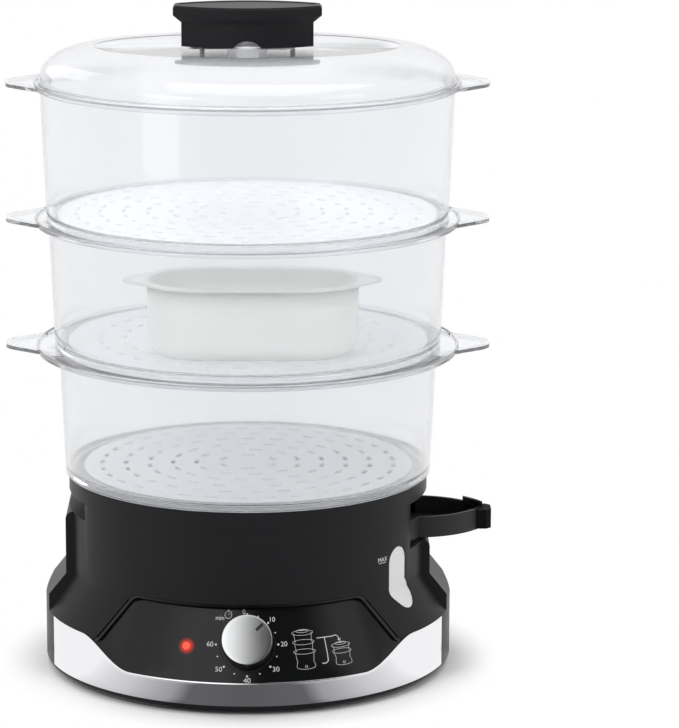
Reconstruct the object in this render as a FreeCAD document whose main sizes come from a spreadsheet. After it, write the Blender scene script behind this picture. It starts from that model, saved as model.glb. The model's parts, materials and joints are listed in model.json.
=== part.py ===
import FreeCAD, Part
import Sketcher
import math
import os

from FreeCAD import Placement, Rotation, Vector

# Electric food steamer: round base with tank, timer and filler, three bowls, rice bowl and lid.
# Millimetres, +Z up. The origin is on the table, on the axis of the round base; -Y is the front.

SIZES = {
    # base, from the table up
    "footHeight": 1.5, "footRadius": 7.0, "footCircle": 98.0, "footSeat": 1.2,
    "wall": 2.5, "bandRadius": 125.0, "chromeWall": 0.8, "bandBottom": 5.6, "bandTop": 36.5,
    "bandFrontTop": 20.2, "chromeHalfAngle": 71.0, "swoopStart": 34.0, "swoopEnd": 52.5,
    "baseEdge": 121.5, "flareTop": 59.0, "flareRound": 8.0, "bodyRadius": 109.8, "ringTop": 119.4,
    "ringLip": 5.8, "ledgeRadius": 97.0, "ledgeHeight": 110.6, "seam": 0.05, "cupFlange": 8.0,
    # side ribs and grip pockets
    "ribHalf": 28.0, "ribReach": 111.0, "ribKnee": 60.0, "ribShoulder": 42.5, "pocketFloor": 98.5,
    "pocketRoof": 109.0, "pocketDepth": 98.0, "ribRound": 4.5,
    # control panel and timer
    "panelSlope": 25.5, "panelTop": 63.0, "panelTopHalf": 67.5, "panelLean": 0.84, "panelRim": 1.2,
    "panelWall": 3.0, "panelTuck": 2.0, "dialHeight": 41.0, "lampAngle": 18.0, "lampHeight": 38.4,
    "lampRadius": 2.2, "knobRadius": 15.0, "knobHeight": 16.6, "knobGap": 1.0, "capWall": 1.4,
    "shaftRadius": 3.0, "timerRadius": 19.5, "timerDepth": 18.0, "timerEar": 1.6, "timerEarReach": 6.0,
    "runGap": 0.05, "pointerLength": 5.5, "pointerWidth": 1.7, "dialStart": 45.0,
    # water level window
    "windowAngle": 55.3, "windowTop": 86.0, "windowBend": 61.0, "windowHalf": 8.8, "windowFoot": 48.6,
    "windowDrift": 3.4,
    # tank and heater
    "tankRadius": 95.0, "tankStep": 56.0, "sumpRadius": 70.0, "tankFloor": 40.0, "heaterHole": 34.0,
    "plateRadius": 39.0, "plateWall": 1.2, "elementRadius": 24.0, "elementTube": 3.4,
    "gasketWall": 2.0, "turboRadius": 47.0, "turboTop": 92.0, "turboWall": 1.8, "postCircle": 63.0,
    "postRadius": 4.5, "screwRadius": 1.6, "screwHead": 3.4,
    # filler spout
    "spoutFloor": 82.0, "spoutRim": 95.0, "spoutRoot": 91.0, "spoutHalf": 27.0, "spoutFlare": 40.0,
    "spoutTip": 145.0, "spoutBow": 48.0, "spoutWall": 1.8, "gripReach": 149.6, "gripHalf": 8.0,
    "gripRoot": 11.0, "lipStart": 133.0, "lipRise": 2.6, "spoutNeck": 104.0, "slideGap": 0.4,
    # drip tray
    "dripRim": 103.3, "dripRadius": 90.0, "dripFloor": 99.0, "dripWall": 1.5, "dripPlate": 0.8, "dripPlateEdge": 85.0,
    # bowls, each one wider than the one below
    "liftGap": 0.3, "bowlWall": 2.0, "lowFoot": 111.8, "midFoot": 117.3, "topFoot": 121.6,
    "bowlFlare": 3.2, "lowFlange": 197.7, "midFlange": 275.5, "topFlange": 357.7, "flangeRadius": 128.5,
    "flangeWall": 1.9, "flangeBead": 1.4, "floorRise": 1.6, "slotPlate": 1.1, "slotPlateLip": 3.0,
    "spigotGap": 1.4, "spigotDrop": 3.2,
    "earReach": 147.0, "earTip": 15.5, "earRootHalf": 39.0, "earRoot": 119.0, "earBeadWidth": 1.8,
    "slotLength": 9.0, "slotWidth": 3.0, "slotPitch": 17.0, "slotInner": 17.0, "slotStep": 14.5,
    # rice bowl
    "riceX": 3.2, "riceY": -41.0, "riceHalfX": 63.2, "riceHalfY": 33.5, "riceHeight": 44.0,
    "riceWall": 1.6, "riceRim": 3.0, "riceEar": 77.2,
    # lid and its handle
    "lidRim": 124.4, "lidSide": 5.0, "lidTop": 380.0, "lidTopX": 92.0, "lidTopY": 60.0, "lidWall": 2.0,
    "handleHalf": 44.5, "handleDepth": 23.0, "handleEnd": 7.0, "stemInset": 5.0, "handleTop": 404.6,
    "capHeight": 6.0, "capSlope": 4.0, "handleWall": 2.6, "notchRadius": 10.5, "notchDrop": 6.2, "ventRadius": 12.0,
    "handleScrewX": 27.0,
    # back of the base and its wiring
    "coverTop": 4.6, "terminalFront": 84.0,
    "glandHeight": 20.0, "glandRadius": 5.5, "glandReach": 132.5, "glandBore": 3.4,
}

os.makedirs("parts", exist_ok=True)
doc = FreeCAD.newDocument("FoodSteamer")
sheet = doc.addObject("Spreadsheet::Sheet", "Sizes")
for row, (alias, value) in enumerate(SIZES.items(), 1):
    sheet.set("A%d" % row, alias)
    sheet.set("B%d" % row, str(value))
    sheet.setAlias("B%d" % row, alias)
doc.recompute()


class Term:
    """A length with its value and the expression that binds it to the sheet."""

    def __init__(self, value, text):
        self.value = float(value)
        self.text = text

    def __add__(self, other):
        other = term(other)
        return Term(self.value + other.value, "(%s + %s)" % (self.text, other.text))

    def __sub__(self, other):
        other = term(other)
        return Term(self.value - other.value, "(%s - %s)" % (self.text, other.text))

    def __mul__(self, other):
        other = term(other)
        return Term(self.value * other.value, "(%s * %s)" % (self.text, other.text))

    def __truediv__(self, other):
        other = term(other)
        return Term(self.value / other.value, "(%s / %s)" % (self.text, other.text))

    def __neg__(self):
        return Term(-self.value, "(0 - %s)" % self.text)

    def __rsub__(self, other):
        return term(other) - self

    __radd__ = __add__
    __rmul__ = __mul__


def term(number):
    return number if isinstance(number, Term) else Term(number, repr(float(number)))


class Sheet:
    """Reads a cell of the sheet by its alias, as a Term."""

    def __getattr__(self, alias):
        return Term(sheet.get(alias), "Sizes." + alias)


S = Sheet()
nodes = []
EPS = 0.01


def node(shape_object):
    """Marks an object as a piece that is written to a file of its own."""
    nodes.append(shape_object)
    return shape_object


def bind(obj, **values):
    for prop, number in values.items():
        obj.setExpression(prop.replace("__", "."), term(number).text)
    return obj


def outline(sketch, points, arcs=None):
    """Closed outline through points; arcs maps a side's number to its radius, minus for a centre on its right."""
    arcs = arcs or {}
    ends = []
    count = len(points)
    for side in range(count):
        a = Vector(term(points[side][0]).value, term(points[side][1]).value, 0)
        b_term = points[(side + 1) % count]
        b = Vector(term(b_term[0]).value, term(b_term[1]).value, 0)
        if side in arcs:
            radius, left = abs(arcs[side].value), arcs[side].value > 0
            chord = b.sub(a)
            across = Vector(-chord.y, chord.x, 0).normalize() * (1 if left else -1)
            lift = math.sqrt(max(radius ** 2 - (chord.Length / 2) ** 2, 0))
            centre = (a + b) * 0.5 + across * lift
            first, last = (a, b) if left else (b, a)
            from_angle = math.atan2(first.y - centre.y, first.x - centre.x)
            to_angle = math.atan2(last.y - centre.y, last.x - centre.x)
            if to_angle < from_angle:
                to_angle += 2 * math.pi
            circle = Part.Circle(centre, Vector(0, 0, 1), radius)
            index = sketch.addGeometry(Part.ArcOfCircle(circle, from_angle, to_angle), False)
            ends.append((index, 1, 2) if left else (index, 2, 1))
        else:
            ends.append((sketch.addGeometry(Part.LineSegment(a, b), False), 1, 2))
    for side in range(count):
        index, start, _ = ends[side]
        previous, _, end = ends[side - 1]
        sketch.addConstraint(Sketcher.Constraint("Coincident", previous, end, index, start))
        for kind, number in zip(("DistanceX", "DistanceY"), points[side]):
            number = term(number)
            place = sketch.addConstraint(Sketcher.Constraint(kind, -1, 1, index, start, number.value))
            sketch.setExpression("Constraints[%d]" % place, number.text)
        if side in arcs:
            radius = arcs[side] if arcs[side].value > 0 else -arcs[side]
            place = sketch.addConstraint(Sketcher.Constraint("Radius", index, radius.value))
            sketch.setExpression("Constraints[%d]" % place, radius.text)


def sketch_in(body, plane_role, offset=0):
    plane = next(f for f in body.Origin.OriginFeatures if f.Role == plane_role)
    sketch = body.newObject("Sketcher::SketchObject", body.Name + "Sketch")
    sketch.AttachmentSupport = [(plane, "")]
    sketch.MapMode = "FlatFace"
    bind(sketch, AttachmentOffset__Base__z=offset)
    return sketch


def new_body(name):
    return doc.addObject("PartDesign::Body", name)


def turned(name, points, arcs=None):
    """Body turned about the Z axis from a section in the XZ plane."""
    body = new_body(name)
    sketch = sketch_in(body, "XZ_Plane")
    outline(sketch, points, arcs)
    feature = body.newObject("PartDesign::Revolution", name + "Turned")
    feature.Profile = sketch
    feature.ReferenceAxis = (sketch, ["V_Axis"])
    feature.Angle = 360.0
    return body


def add_pad(body, sketch, length, both_ways=False, cut=False, backwards=False):
    kind = "PartDesign::Pocket" if cut else "PartDesign::Pad"
    feature = body.newObject(kind, body.Name + kind[12:])
    feature.Profile = sketch
    bind(feature, Length=length)
    feature.Midplane = both_ways
    feature.Reversed = backwards
    return feature


def prism(name, plane_role, points, low, length, arcs=None, both_ways=False):
    """Body made of one outline pushed along its plane's normal, from the height low."""
    body = new_body(name)
    sketch = sketch_in(body, plane_role, low)
    outline(sketch, points, arcs)
    add_pad(body, sketch, length, both_ways)
    return body


def box(name, low, high):
    """Box between two corners."""
    shape = doc.addObject("Part::Box", name)
    bind(shape, Length=high[0] - low[0], Width=high[1] - low[1], Height=high[2] - low[2],
         Placement__Base__x=low[0], Placement__Base__y=low[1], Placement__Base__z=low[2])
    return shape


def rod(name, radius, length, x=0, y=0, z=0):
    """Upright cylinder."""
    shape = doc.addObject("Part::Cylinder", name)
    bind(shape, Radius=radius, Height=length,
         Placement__Base__x=x, Placement__Base__y=y, Placement__Base__z=z)
    return shape


def rod_at(name, radius, length, place):
    """Cylinder along the Z axis of a placement."""
    shape = doc.addObject("Part::Cylinder", name)
    bind(shape, Radius=radius, Height=length)
    shape.Placement = place
    return shape


def toward(start, direction):
    """Placement at a point with its Z axis along a direction."""
    return Placement(start, Rotation(Vector(0, 0, 1), direction))


def cut(name, base, *tools):
    result = doc.addObject("Part::Cut", name)
    result.Base = base
    result.Tool = tools[0] if len(tools) == 1 else join(name + "Tools", *tools)
    return result


def join(name, *shapes):
    result = doc.addObject("Part::MultiFuse", name)
    result.Shapes = list(shapes)
    result.Refine = True
    return result


def common(name, *shapes):
    result = doc.addObject("Part::MultiCommon", name)
    result.Shapes = list(shapes)
    return result


def made(name, shape):
    """A shape worked out in code, kept as a document object."""
    feature = doc.addObject("Part::Feature", name)
    feature.Shape = shape
    return feature


def group(name, *shapes):
    """Separate solids that share one file."""
    result = doc.addObject("Part::Compound", name)
    result.Links = list(shapes)
    return result


def edge_names(shape, test):
    return ["Edge%d" % (i + 1) for i, edge in enumerate(shape.Edges) if test(edge)]


def at_circle(radius, height):
    """Test for the round edges of a given radius and height."""
    def test(edge):
        middle = edge.valueAt((edge.FirstParameter + edge.LastParameter) / 2)
        reach = math.hypot(middle.x, middle.y)
        return abs(reach - radius.value) < EPS and abs(middle.z - height.value) < EPS
    return test


def round_edges(body, test, radius, kind="Fillet"):
    """Rounds or bevels the edges of the body's last feature that pass the test."""
    doc.recompute()
    base = body.Tip
    feature = body.newObject("PartDesign::" + kind, body.Name + kind)
    feature.Base = (base, edge_names(base.Shape, test))
    bind(feature, **{"Radius" if kind == "Fillet" else "Size": radius})
    return feature


# --- shared places -------------------------------------------------------------------------

band_seat = S.bandRadius - S.chromeWall
flush = S.bandRadius - 0.2
tilt = math.radians(S.panelSlope.value)
slope = math.tan(tilt)
dial_reach = band_seat.value - slope * (S.dialHeight.value - S.bandFrontTop.value)
DIAL = Vector(0, -dial_reach, S.dialHeight.value)
OUTWARD = Vector(0, -math.cos(tilt), math.sin(tilt))
BACK = Vector(0, 1, 0)
SWOOP_ANGLES = range(-66, 67, 2)


def around(angle, radius, height):
    """Point at an angle in degrees from the front, towards +X."""
    turn = math.radians(angle)
    return Vector(radius * math.sin(turn), -radius * math.cos(turn), height)


def swoop(angle):
    """Height of the bright band's upper edge, which rises in an S from the front to the sides."""
    start, end = S.swoopStart.value, S.swoopEnd.value
    share = min(max((abs(angle) - start) / (end - start), 0), 1)
    rise = S.bandTop.value - S.bandFrontTop.value
    return S.bandFrontTop.value + rise * share ** 2 * (3 - 2 * share)


def swoop_solid(section):
    """Solid whose upright section follows the angle; section(edge height) gives its (radius, height) corners."""
    sections = [[around(angle, radius, height) for radius, height in section(swoop(angle))]
                for angle in SWOOP_ANGLES]
    rails = []
    for corner in zip(*sections):
        rail = Part.BSplineCurve()
        rail.interpolate(list(corner))
        rails.append(rail.toShape())
    faces = [Part.makeRuledSurface(rail, rails[k - 1]) for k, rail in enumerate(rails)]
    for end in (sections[0], sections[-1]):
        faces.append(Part.Face(Part.makePolygon(end + end[:1])))
    shell = Part.makeShell(faces)
    shell.sewShape()
    solid = Part.makeSolid(Part.Shell(shell.Faces))
    return solid if solid.Volume > 0 else solid.reversed()


def above_swoop(drop, inner, outer, top):
    return swoop_solid(lambda edge: [(inner, edge - drop), (outer, edge - drop), (outer, top), (inner, top)])


def along_dial(offset, turn=0.0, shift=0.0):
    """Placement whose Z axis is the knob's axis, at an offset from the panel's face and a shift sideways."""
    face = Rotation(Vector(1, 0, 0), 90 - S.panelSlope.value)
    return Placement(DIAL + OUTWARD * offset + Vector(shift, 0, 0), face * Rotation(Vector(0, 0, 1), turn))


def timer_screw():
    """Distance of the timer's screws from its shaft."""
    return S.timerRadius + S.timerEarReach / 2


def timer_back():
    """Depth of the timer's front face: behind the curved panel where its ears reach out to the sides."""
    half = S.timerRadius.value + S.timerEarReach.value
    bulge = dial_reach - math.sqrt(dial_reach ** 2 - half ** 2)
    return (S.panelWall.value + bulge) * math.cos(tilt) + S.liftGap.value


def panel_prism(name, grow):
    """Front outline of the panel, pushed through the front of the base."""
    top_half = S.panelTopHalf + grow
    top = S.panelTop + grow
    low = term(20)
    low_half = top_half + (top - low) * S.panelLean
    points = [(-low_half, low), (-low_half, 0), (low_half, 0), (low_half, low), (top_half, top), (-top_half, top)]
    body = prism(name, "XZ_Plane", points, 60, 100)
    corners = lambda edge: abs(edge.Vertexes[0].Y - edge.Vertexes[-1].Y) > 10 and edge.Vertexes[0].Z > 60
    round_edges(body, corners, 6)
    return body


# --- base ----------------------------------------------------------------------------------

def housing():
    rim_round = term(5)
    skin = turned("housingSkin", [
        (0, S.footHeight), (S.baseEdge, S.footHeight), (flush, S.bandBottom - 0.6), (flush, S.bandTop),
        (S.bodyRadius, S.flareTop), (S.bodyRadius, S.pocketRoof - S.seam), (0, S.pocketRoof - S.seam),
    ], {1: rim_round})
    round_edges(skin, at_circle(S.bodyRadius, S.flareTop), S.flareRound)
    inner = S.bodyRadius - S.wall
    hollow = turned("housingHollow", [
        (0, -1), (S.baseEdge - 2.2, -1), (S.baseEdge - 2.2, 4.8), (flush - S.wall - 0.6, 4.8),
        (flush - S.wall - 0.6, S.bandTop - 1), (inner, S.flareTop - 1), (inner, S.ringTop), (0, S.ringTop),
    ])
    ribs, rib_hollows, pockets = [], [], []
    for side, top in ((-1, S.pocketFloor), (1, S.spoutFloor - 1)):
        tag = "Left" if side < 0 else "Right"
        ribs.append(side_rib("rib" + tag, side, top, term(0)))
        rib_hollows.append(side_rib("ribHollow" + tag, side, top, S.wall))
        pockets.append(pocket("pocket" + tag, side, top, S.pocketRoof, term(0)))
    ribs_kept = common("ribsKept", join("ribs", *ribs), rod("roundBound", flush, S.ringTop))
    outside = join("housingOutside", skin, ribs_kept)
    ribs_open = common("ribsOpen", join("ribHollows", *rib_hollows), rod("hollowBound", flush - S.wall, S.ringTop))
    hollow_all = join("hollows", hollow, ribs_open)
    chrome_seat = made("chromeSeat", chrome_sector(band_seat.value, S.bandRadius.value + 5,
                                                   S.bandBottom.value, S.bandTop.value, 0.3))
    front_cut = made("panelOpening", above_swoop(S.panelTuck.value + 0.3, 80, 140, 80))
    panel_hole = common("panelHole", front_cut, panel_prism("panelHoleOutline", term(0.3)))
    window_hole = window_shape("windowHole", 0.25, term(90), term(130))
    gland_hole = rod_at("glandHole", S.glandRadius - 1, 30, toward(Vector(0, 110, S.glandHeight.value), BACK))
    node(cut("outer_housing", outside, hollow_all, *pockets, chrome_seat, panel_hole, window_hole, gland_hole))


def collar():
    """Ring on top of the housing: the lower bowl stands on it and the tank hangs in its ledge."""
    lip = S.bodyRadius - S.ringLip
    node(turned("top_collar", [
        (S.ledgeRadius, S.pocketRoof), (S.bodyRadius, S.pocketRoof), (S.bodyRadius, S.ringTop - 1),
        (S.bodyRadius - 1, S.ringTop), (lip, S.ringTop), (lip, S.ledgeHeight), (S.ledgeRadius, S.ledgeHeight)]))


def grip_pocket(name, side, low, *openings):
    """Floor and back of a grip pocket, fitted behind the housing's wall and closed above by the collar."""
    insert = pocket(name + "Block", side, low - S.wall, S.pocketRoof - S.seam, S.wall)
    bound = rod(name + "Bound", S.bodyRadius - S.wall - S.seam, S.ringTop)
    space = pocket(name + "Space", side, low, S.ringTop, term(0))
    node(cut(name, common(name + "Blank", insert, bound), space, *openings))


def grip_pockets():
    spout_hole = box("spoutHole", (S.tankRadius - 6, -S.spoutFlare - S.slideGap, S.spoutFloor - S.slideGap),
                     (S.pocketDepth + 1, S.spoutFlare + S.slideGap, S.spoutRim + S.slideGap))
    grip_pocket("left_pocket", -1, S.pocketFloor)
    grip_pocket("right_pocket", 1, S.spoutFloor - 1, spout_hole)


def side_rib(name, side, top, inset):
    """Buttress on one side: upright to the knee, then slanting out to the band."""
    reach = S.ribReach - inset
    low_reach = S.bandRadius - inset
    inner = term(96) + (0 if inset.value == 0 else -2)
    points = [(inner, 30), (low_reach, 30), (low_reach, S.ribShoulder - inset * 0.4),
              (reach, S.ribKnee - inset * 0.4), (reach, top - inset), (inner, top - inset)]
    if side < 0:
        points = [(-x, z) for x, z in reversed(points)]
    body = prism(name, "XZ_Plane", points, 0, (S.ribHalf - inset) * 2, both_ways=True)
    if inset.value == 0:
        shoulder, upper = S.ribShoulder.value, top.value
        slim = lambda edge: (abs(edge.Vertexes[0].Y - edge.Vertexes[-1].Y) > 10
                             and abs(edge.Vertexes[0].X) > 100
                             and min(abs(edge.Vertexes[0].Z - shoulder), abs(edge.Vertexes[0].Z - upper)) < EPS)
        round_edges(body, slim, S.ribRound)
    return body


def pocket(name, side, low, high, grow):
    """Finger pocket between the rib's top and the overhanging ring."""
    near, far = S.pocketDepth - grow, term(135)
    xs = (near, far) if side > 0 else (-far, -near)
    return box(name, (xs[0], term(-60), low), (xs[1], term(60), high))


def chrome_sector(inner, outer, low, high, grow):
    half = S.chromeHalfAngle.value + grow
    ring_shape = Part.makeCylinder(outer, high - low, Vector(0, 0, low), Vector(0, 0, 1), 2 * half)
    core = Part.makeCylinder(inner, high - low, Vector(0, 0, low), Vector(0, 0, 1), 360)
    sector = ring_shape.cut(core)
    sector.rotate(Vector(0, 0, 0), Vector(0, 0, 1), -90 - half)
    return sector


def chrome_band():
    band = chrome_sector(band_seat.value + 0.02, S.bandRadius.value, S.bandBottom.value + 0.1,
                         S.bandTop.value - 0.1, 0)
    node(made("chrome_band", band.cut(above_swoop(0, 100, 140, 80))))


def panel_face(edge, height):
    """Radius of the panel's face at a height, for a band edge at the height edge."""
    return band_seat.value - slope * (height - edge)


def control_panel():
    top = S.panelTop.value + 6
    wall, tuck, seat = S.panelWall.value, S.panelTuck.value, band_seat.value
    body = swoop_solid(lambda edge: [
        (panel_face(edge, edge - tuck) - wall, edge - tuck), (134, edge - tuck), (134, top),
        (panel_face(edge, top) - wall, top)])
    scoop = swoop_solid(lambda edge: [(seat, edge), (140, edge), (140, top), (panel_face(edge, top), top)])
    skin = turned("panelSkin", [
        (0, 0), (band_seat - 0.05, 0), (band_seat - 0.05, S.bandTop - 0.3), (S.bodyRadius - 0.3, S.flareTop - 0.5),
        (S.bodyRadius - 0.3, 80), (0, 80)])
    blank = common("panelBlank", made("panelBody", body), skin, panel_prism("panelOutline", term(0)))
    scooped = common("panelScoop", made("panelFront", scoop), panel_prism("panelInset", -S.panelRim))
    bosses, holes = [], []
    for k, side in enumerate((-1, 1)):
        place = along_dial(-timer_back(), shift=side * timer_screw().value)
        bosses.append(rod_at("panelBoss%d" % k, 3.2, 2.2, place))
        holes.append(rod_at("panelBossHole%d" % k, 1.5, 2.5, place))
    shaft_hole = rod_at("panelShaftHole", S.shaftRadius + 1.5, 30, along_dial(-15))
    lamp_hole = rod_at("panelLampHole", S.lampRadius + 0.1, 20, lamp_place(-10))
    shell = cut("panelShell", blank, scooped)
    node(cut("control_panel", join("panelSolid", shell, *bosses), shaft_hole, lamp_hole, *holes))


def lamp_place(offset):
    """Placement whose Z axis leaves the panel square at the lamp."""
    height, angle = S.lampHeight.value, -S.lampAngle.value
    spot = around(angle, panel_face(S.bandFrontTop.value, height), height)
    outward = around(angle, math.cos(tilt), math.sin(tilt))
    return toward(spot + outward * offset, outward)


def lamp():
    back = -S.panelWall.value
    node(rod_at("indicator_lens", S.lampRadius, S.panelWall + 0.8, lamp_place(back)))
    bulb = rod_at("bulbGlass", S.lampRadius, 11, lamp_place(back - 11.2))
    holder = rod_at("bulbHolder", S.lampRadius + 1.4, 5, lamp_place(back - 16.2))
    node(join("indicator_lamp", bulb, holder))


def knob():
    """Black knob with a satin metal cap and a dark pointer, on the timer's shaft."""
    cap, height = S.capWall, S.knobHeight
    deck = height - cap
    grip_inner = S.knobRadius - 2.4
    bore = S.shaftRadius + 0.02
    body = turned("knobTurned", [(bore, 3), (grip_inner, 3), (grip_inner, 0), (S.knobRadius, 0),
                                 (S.knobRadius - 0.3, deck), (0, deck), (0, deck - 2.2), (bore, deck - 2.2)])
    node(placed("timer_knob", body, along_dial(S.knobGap.value)))
    disc = turned("capTurned", [(0, 0.05), (S.knobRadius - 0.3, 0.05), (S.knobRadius - 0.3, cap * 0.4),
                                (S.knobRadius - 1.3, cap), (0, cap - 0.25)])
    half, low = S.pointerWidth / 2, S.knobRadius - 1.9 - S.pointerLength
    groove = box("pointerGroove", (-half, low, cap * 0.35), (half, low + S.pointerLength, cap * 2))
    mark = box("pointerBlank", (-half + 0.03, low + 0.03, cap * 0.35 + 0.02),
               (half - 0.03, low + S.pointerLength - 0.03, cap))
    face = along_dial(S.knobGap.value + deck.value, -S.dialStart.value)
    node(placed("knob_cap", cut("capCut", disc, groove), face))
    node(placed("knob_pointer", mark, face))
    tail = timer_back() + 6
    node(rod_at("timer_shaft", S.shaftRadius, S.knobGap + deck - 2.4 + tail, along_dial(-tail)))


def placed(name, source, place):
    """A finished shape under its own name, at a placement of its own."""
    doc.recompute()
    feature = made(name, source.Shape.copy())
    feature.Placement = place * source.Shape.Placement
    return feature


def timer():
    """Clockwork timer behind the panel, with two fixing screws through its ears."""
    ear_x, ear = timer_screw(), S.timerEar
    reach = S.timerRadius + S.timerEarReach
    case = rod("timerCase", S.timerRadius, S.timerDepth)
    ears = box("timerEars", (-reach, -5, S.timerDepth - ear), (reach, 5, S.timerDepth))
    bore = rod("timerBore", S.shaftRadius + S.runGap, 12, z=S.timerDepth - 6.5)
    holes = [rod("timerHole%d" % k, 1.6, 4, x=ear_x * side, z=S.timerDepth - 3)
             for k, side in enumerate((-1, 1))]
    place = along_dial(-timer_back() - S.timerDepth.value)
    node(placed("timer_body", cut("timerBuilt", join("timerSolid", case, ears), bore, *holes), place))
    screws = []
    for k, side in enumerate((-1, 1)):
        x = ear_x * side
        screws.append(join("timerScrew%d" % k, rod("timerShank%d" % k, 1.45, ear + 2.4, x=x, z=S.timerDepth - ear),
                           rod("timerHead%d" % k, 2.7, 1.6, x=x, z=S.timerDepth - ear - 1.6)))
    node(placed("timer_screws", group("timerScrewPair", *screws), place))


def window_shape(name, grow, near, far):
    """Slot of the level window: upright, then bent back along the flare at its foot."""
    half = S.windowHalf.value + grow
    points = [(0.0, S.windowTop.value - S.windowHalf.value), (0.0, S.windowBend.value),
              (S.windowDrift.value, S.windowFoot.value + S.windowHalf.value)]
    path = [Vector(x, 0, z) for x, z in points]
    solids = []
    for a, b in zip(path, path[1:]):
        along = (b - a).normalize()
        side = Vector(along.z, 0, -along.x) * half
        corners = [a + side, b + side, b - side, a - side]
        face = Part.Face(Part.makePolygon(corners + corners[:1]))
        solids.append(face.extrude(Vector(0, -(far.value - near.value), 0)))
    for p in path:
        solids.append(Part.makeCylinder(half, far.value - near.value, p, Vector(0, -1, 0)))
    slot = solids[0].fuse(solids[1:]).removeSplitter()
    slot.translate(Vector(0, -near.value, 0))
    slot.rotate(Vector(0, 0, 0), Vector(0, 0, 1), S.windowAngle.value)
    return made(name, slot)


def window():
    """Clear level window, set a little below the skin of the base."""
    inset = S.wall * 0.2
    inner_set = S.wall + 1.0
    rim = lambda name, off: turned(name, [(80, 20), (S.bandRadius - off, 20), (S.bandRadius - off, S.bandTop),
                                          (S.bodyRadius - off, S.flareTop), (S.bodyRadius - off, 110),
                                          (80, 110)])
    outer = rim("windowOuter", inset)
    inner = rim("windowInner", inner_set)
    slot = window_shape("windowSlot", 0.0, term(90), term(130))
    node(cut("water_level_window", common("windowBlank", slot, outer), inner))


def tank():
    """Water tank, and below it the cup round the heater with four hollow legs for the base screws."""
    wall, step = S.wall, S.tankStep
    rim_low = S.ledgeHeight + 0.1
    rim_out = S.bodyRadius - S.ringLip - 0.4
    shell = turned("tankTurned", [
        (S.sumpRadius, step - wall), (S.tankRadius, step - wall), (S.tankRadius, rim_low), (rim_out, rim_low),
        (rim_out, rim_low + 2), (S.tankRadius - wall, rim_low + 2), (S.tankRadius - wall, step),
        (S.sumpRadius, step)])
    seal = step - wall - S.seam
    flange = S.sumpRadius + S.cupFlange
    cup = turned("cupTurned", [
        (S.heaterHole, S.tankFloor - wall), (S.sumpRadius + wall, S.tankFloor - wall),
        (S.sumpRadius + wall, seal - 2), (flange, seal - 2), (flange, seal), (S.sumpRadius, seal),
        (S.sumpRadius, S.tankFloor), (S.heaterHole, S.tankFloor)])
    spout_gap = box("tankSpoutGap", (S.spoutRoot - 12, -S.spoutFlare - 4, S.spoutFloor - 2),
                    (S.tankRadius + 5, S.spoutFlare + 4, S.spoutRim + 3))
    legs, bores = [], []
    for k in range(4):
        x, y = corner_place(k, S.postCircle)
        legs.append(rod("tankLeg%d" % k, S.postRadius, S.tankFloor - wall - 4.8 + 0.5, x, y, term(4.8)))
        bores.append(rod("tankLegBore%d" % k, S.screwRadius, 14, x, y, term(4)))
    node(cut("water_tank", shell, spout_gap))
    node(cut("heater_cup", join("cupSolid", cup, *legs), *bores))


def corner_place(k, circle):
    """Centre of the k-th of four places on a circle, on the diagonals."""
    share = math.sqrt(0.5)
    return circle * (share * (1, -1, -1, 1)[k]), circle * (share * (1, 1, -1, -1)[k])


def bottom():
    """Bottom cover with cooling slots, screws and rubber feet."""
    low = S.footHeight + 0.4
    plate = rod("coverPlate", S.baseEdge - 2.6, S.coverTop - low, z=low)
    tools = []
    screws, feet = [], []
    for k in range(4):
        x, y = corner_place(k, S.postCircle)
        tools.append(rod("coverHole%d" % k, S.screwRadius + 0.2, 8, x, y))
        tools.append(rod("coverSink%d" % k, S.screwHead + 0.3, 1.7, x, y, low))
        screws.append(join("baseScrew%d" % k, rod("baseShank%d" % k, S.screwRadius - 0.1, 11, x, y, low + 1.4),
                           rod("baseHead%d" % k, S.screwHead, 1.5, x, y, low + 0.1)))
        x, y = corner_place(k, S.footCircle)
        tools.append(rod("footSeat%d" % k, S.footRadius + 0.1, S.footSeat, x, y, low))
        feet.append(rod("foot%d" % k, S.footRadius, low + S.footSeat, x, y, 0))
    for k in range(-3, 4):
        tools.append(box("coolSlot%d" % k, (k * 7 - 1.5, -22, 0), (k * 7 + 1.5, 22, 8)))
    node(cut("bottom_cover", plate, *tools))
    node(group("bottom_screws", *screws))
    node(group("rubber_feet", *feet))


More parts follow.
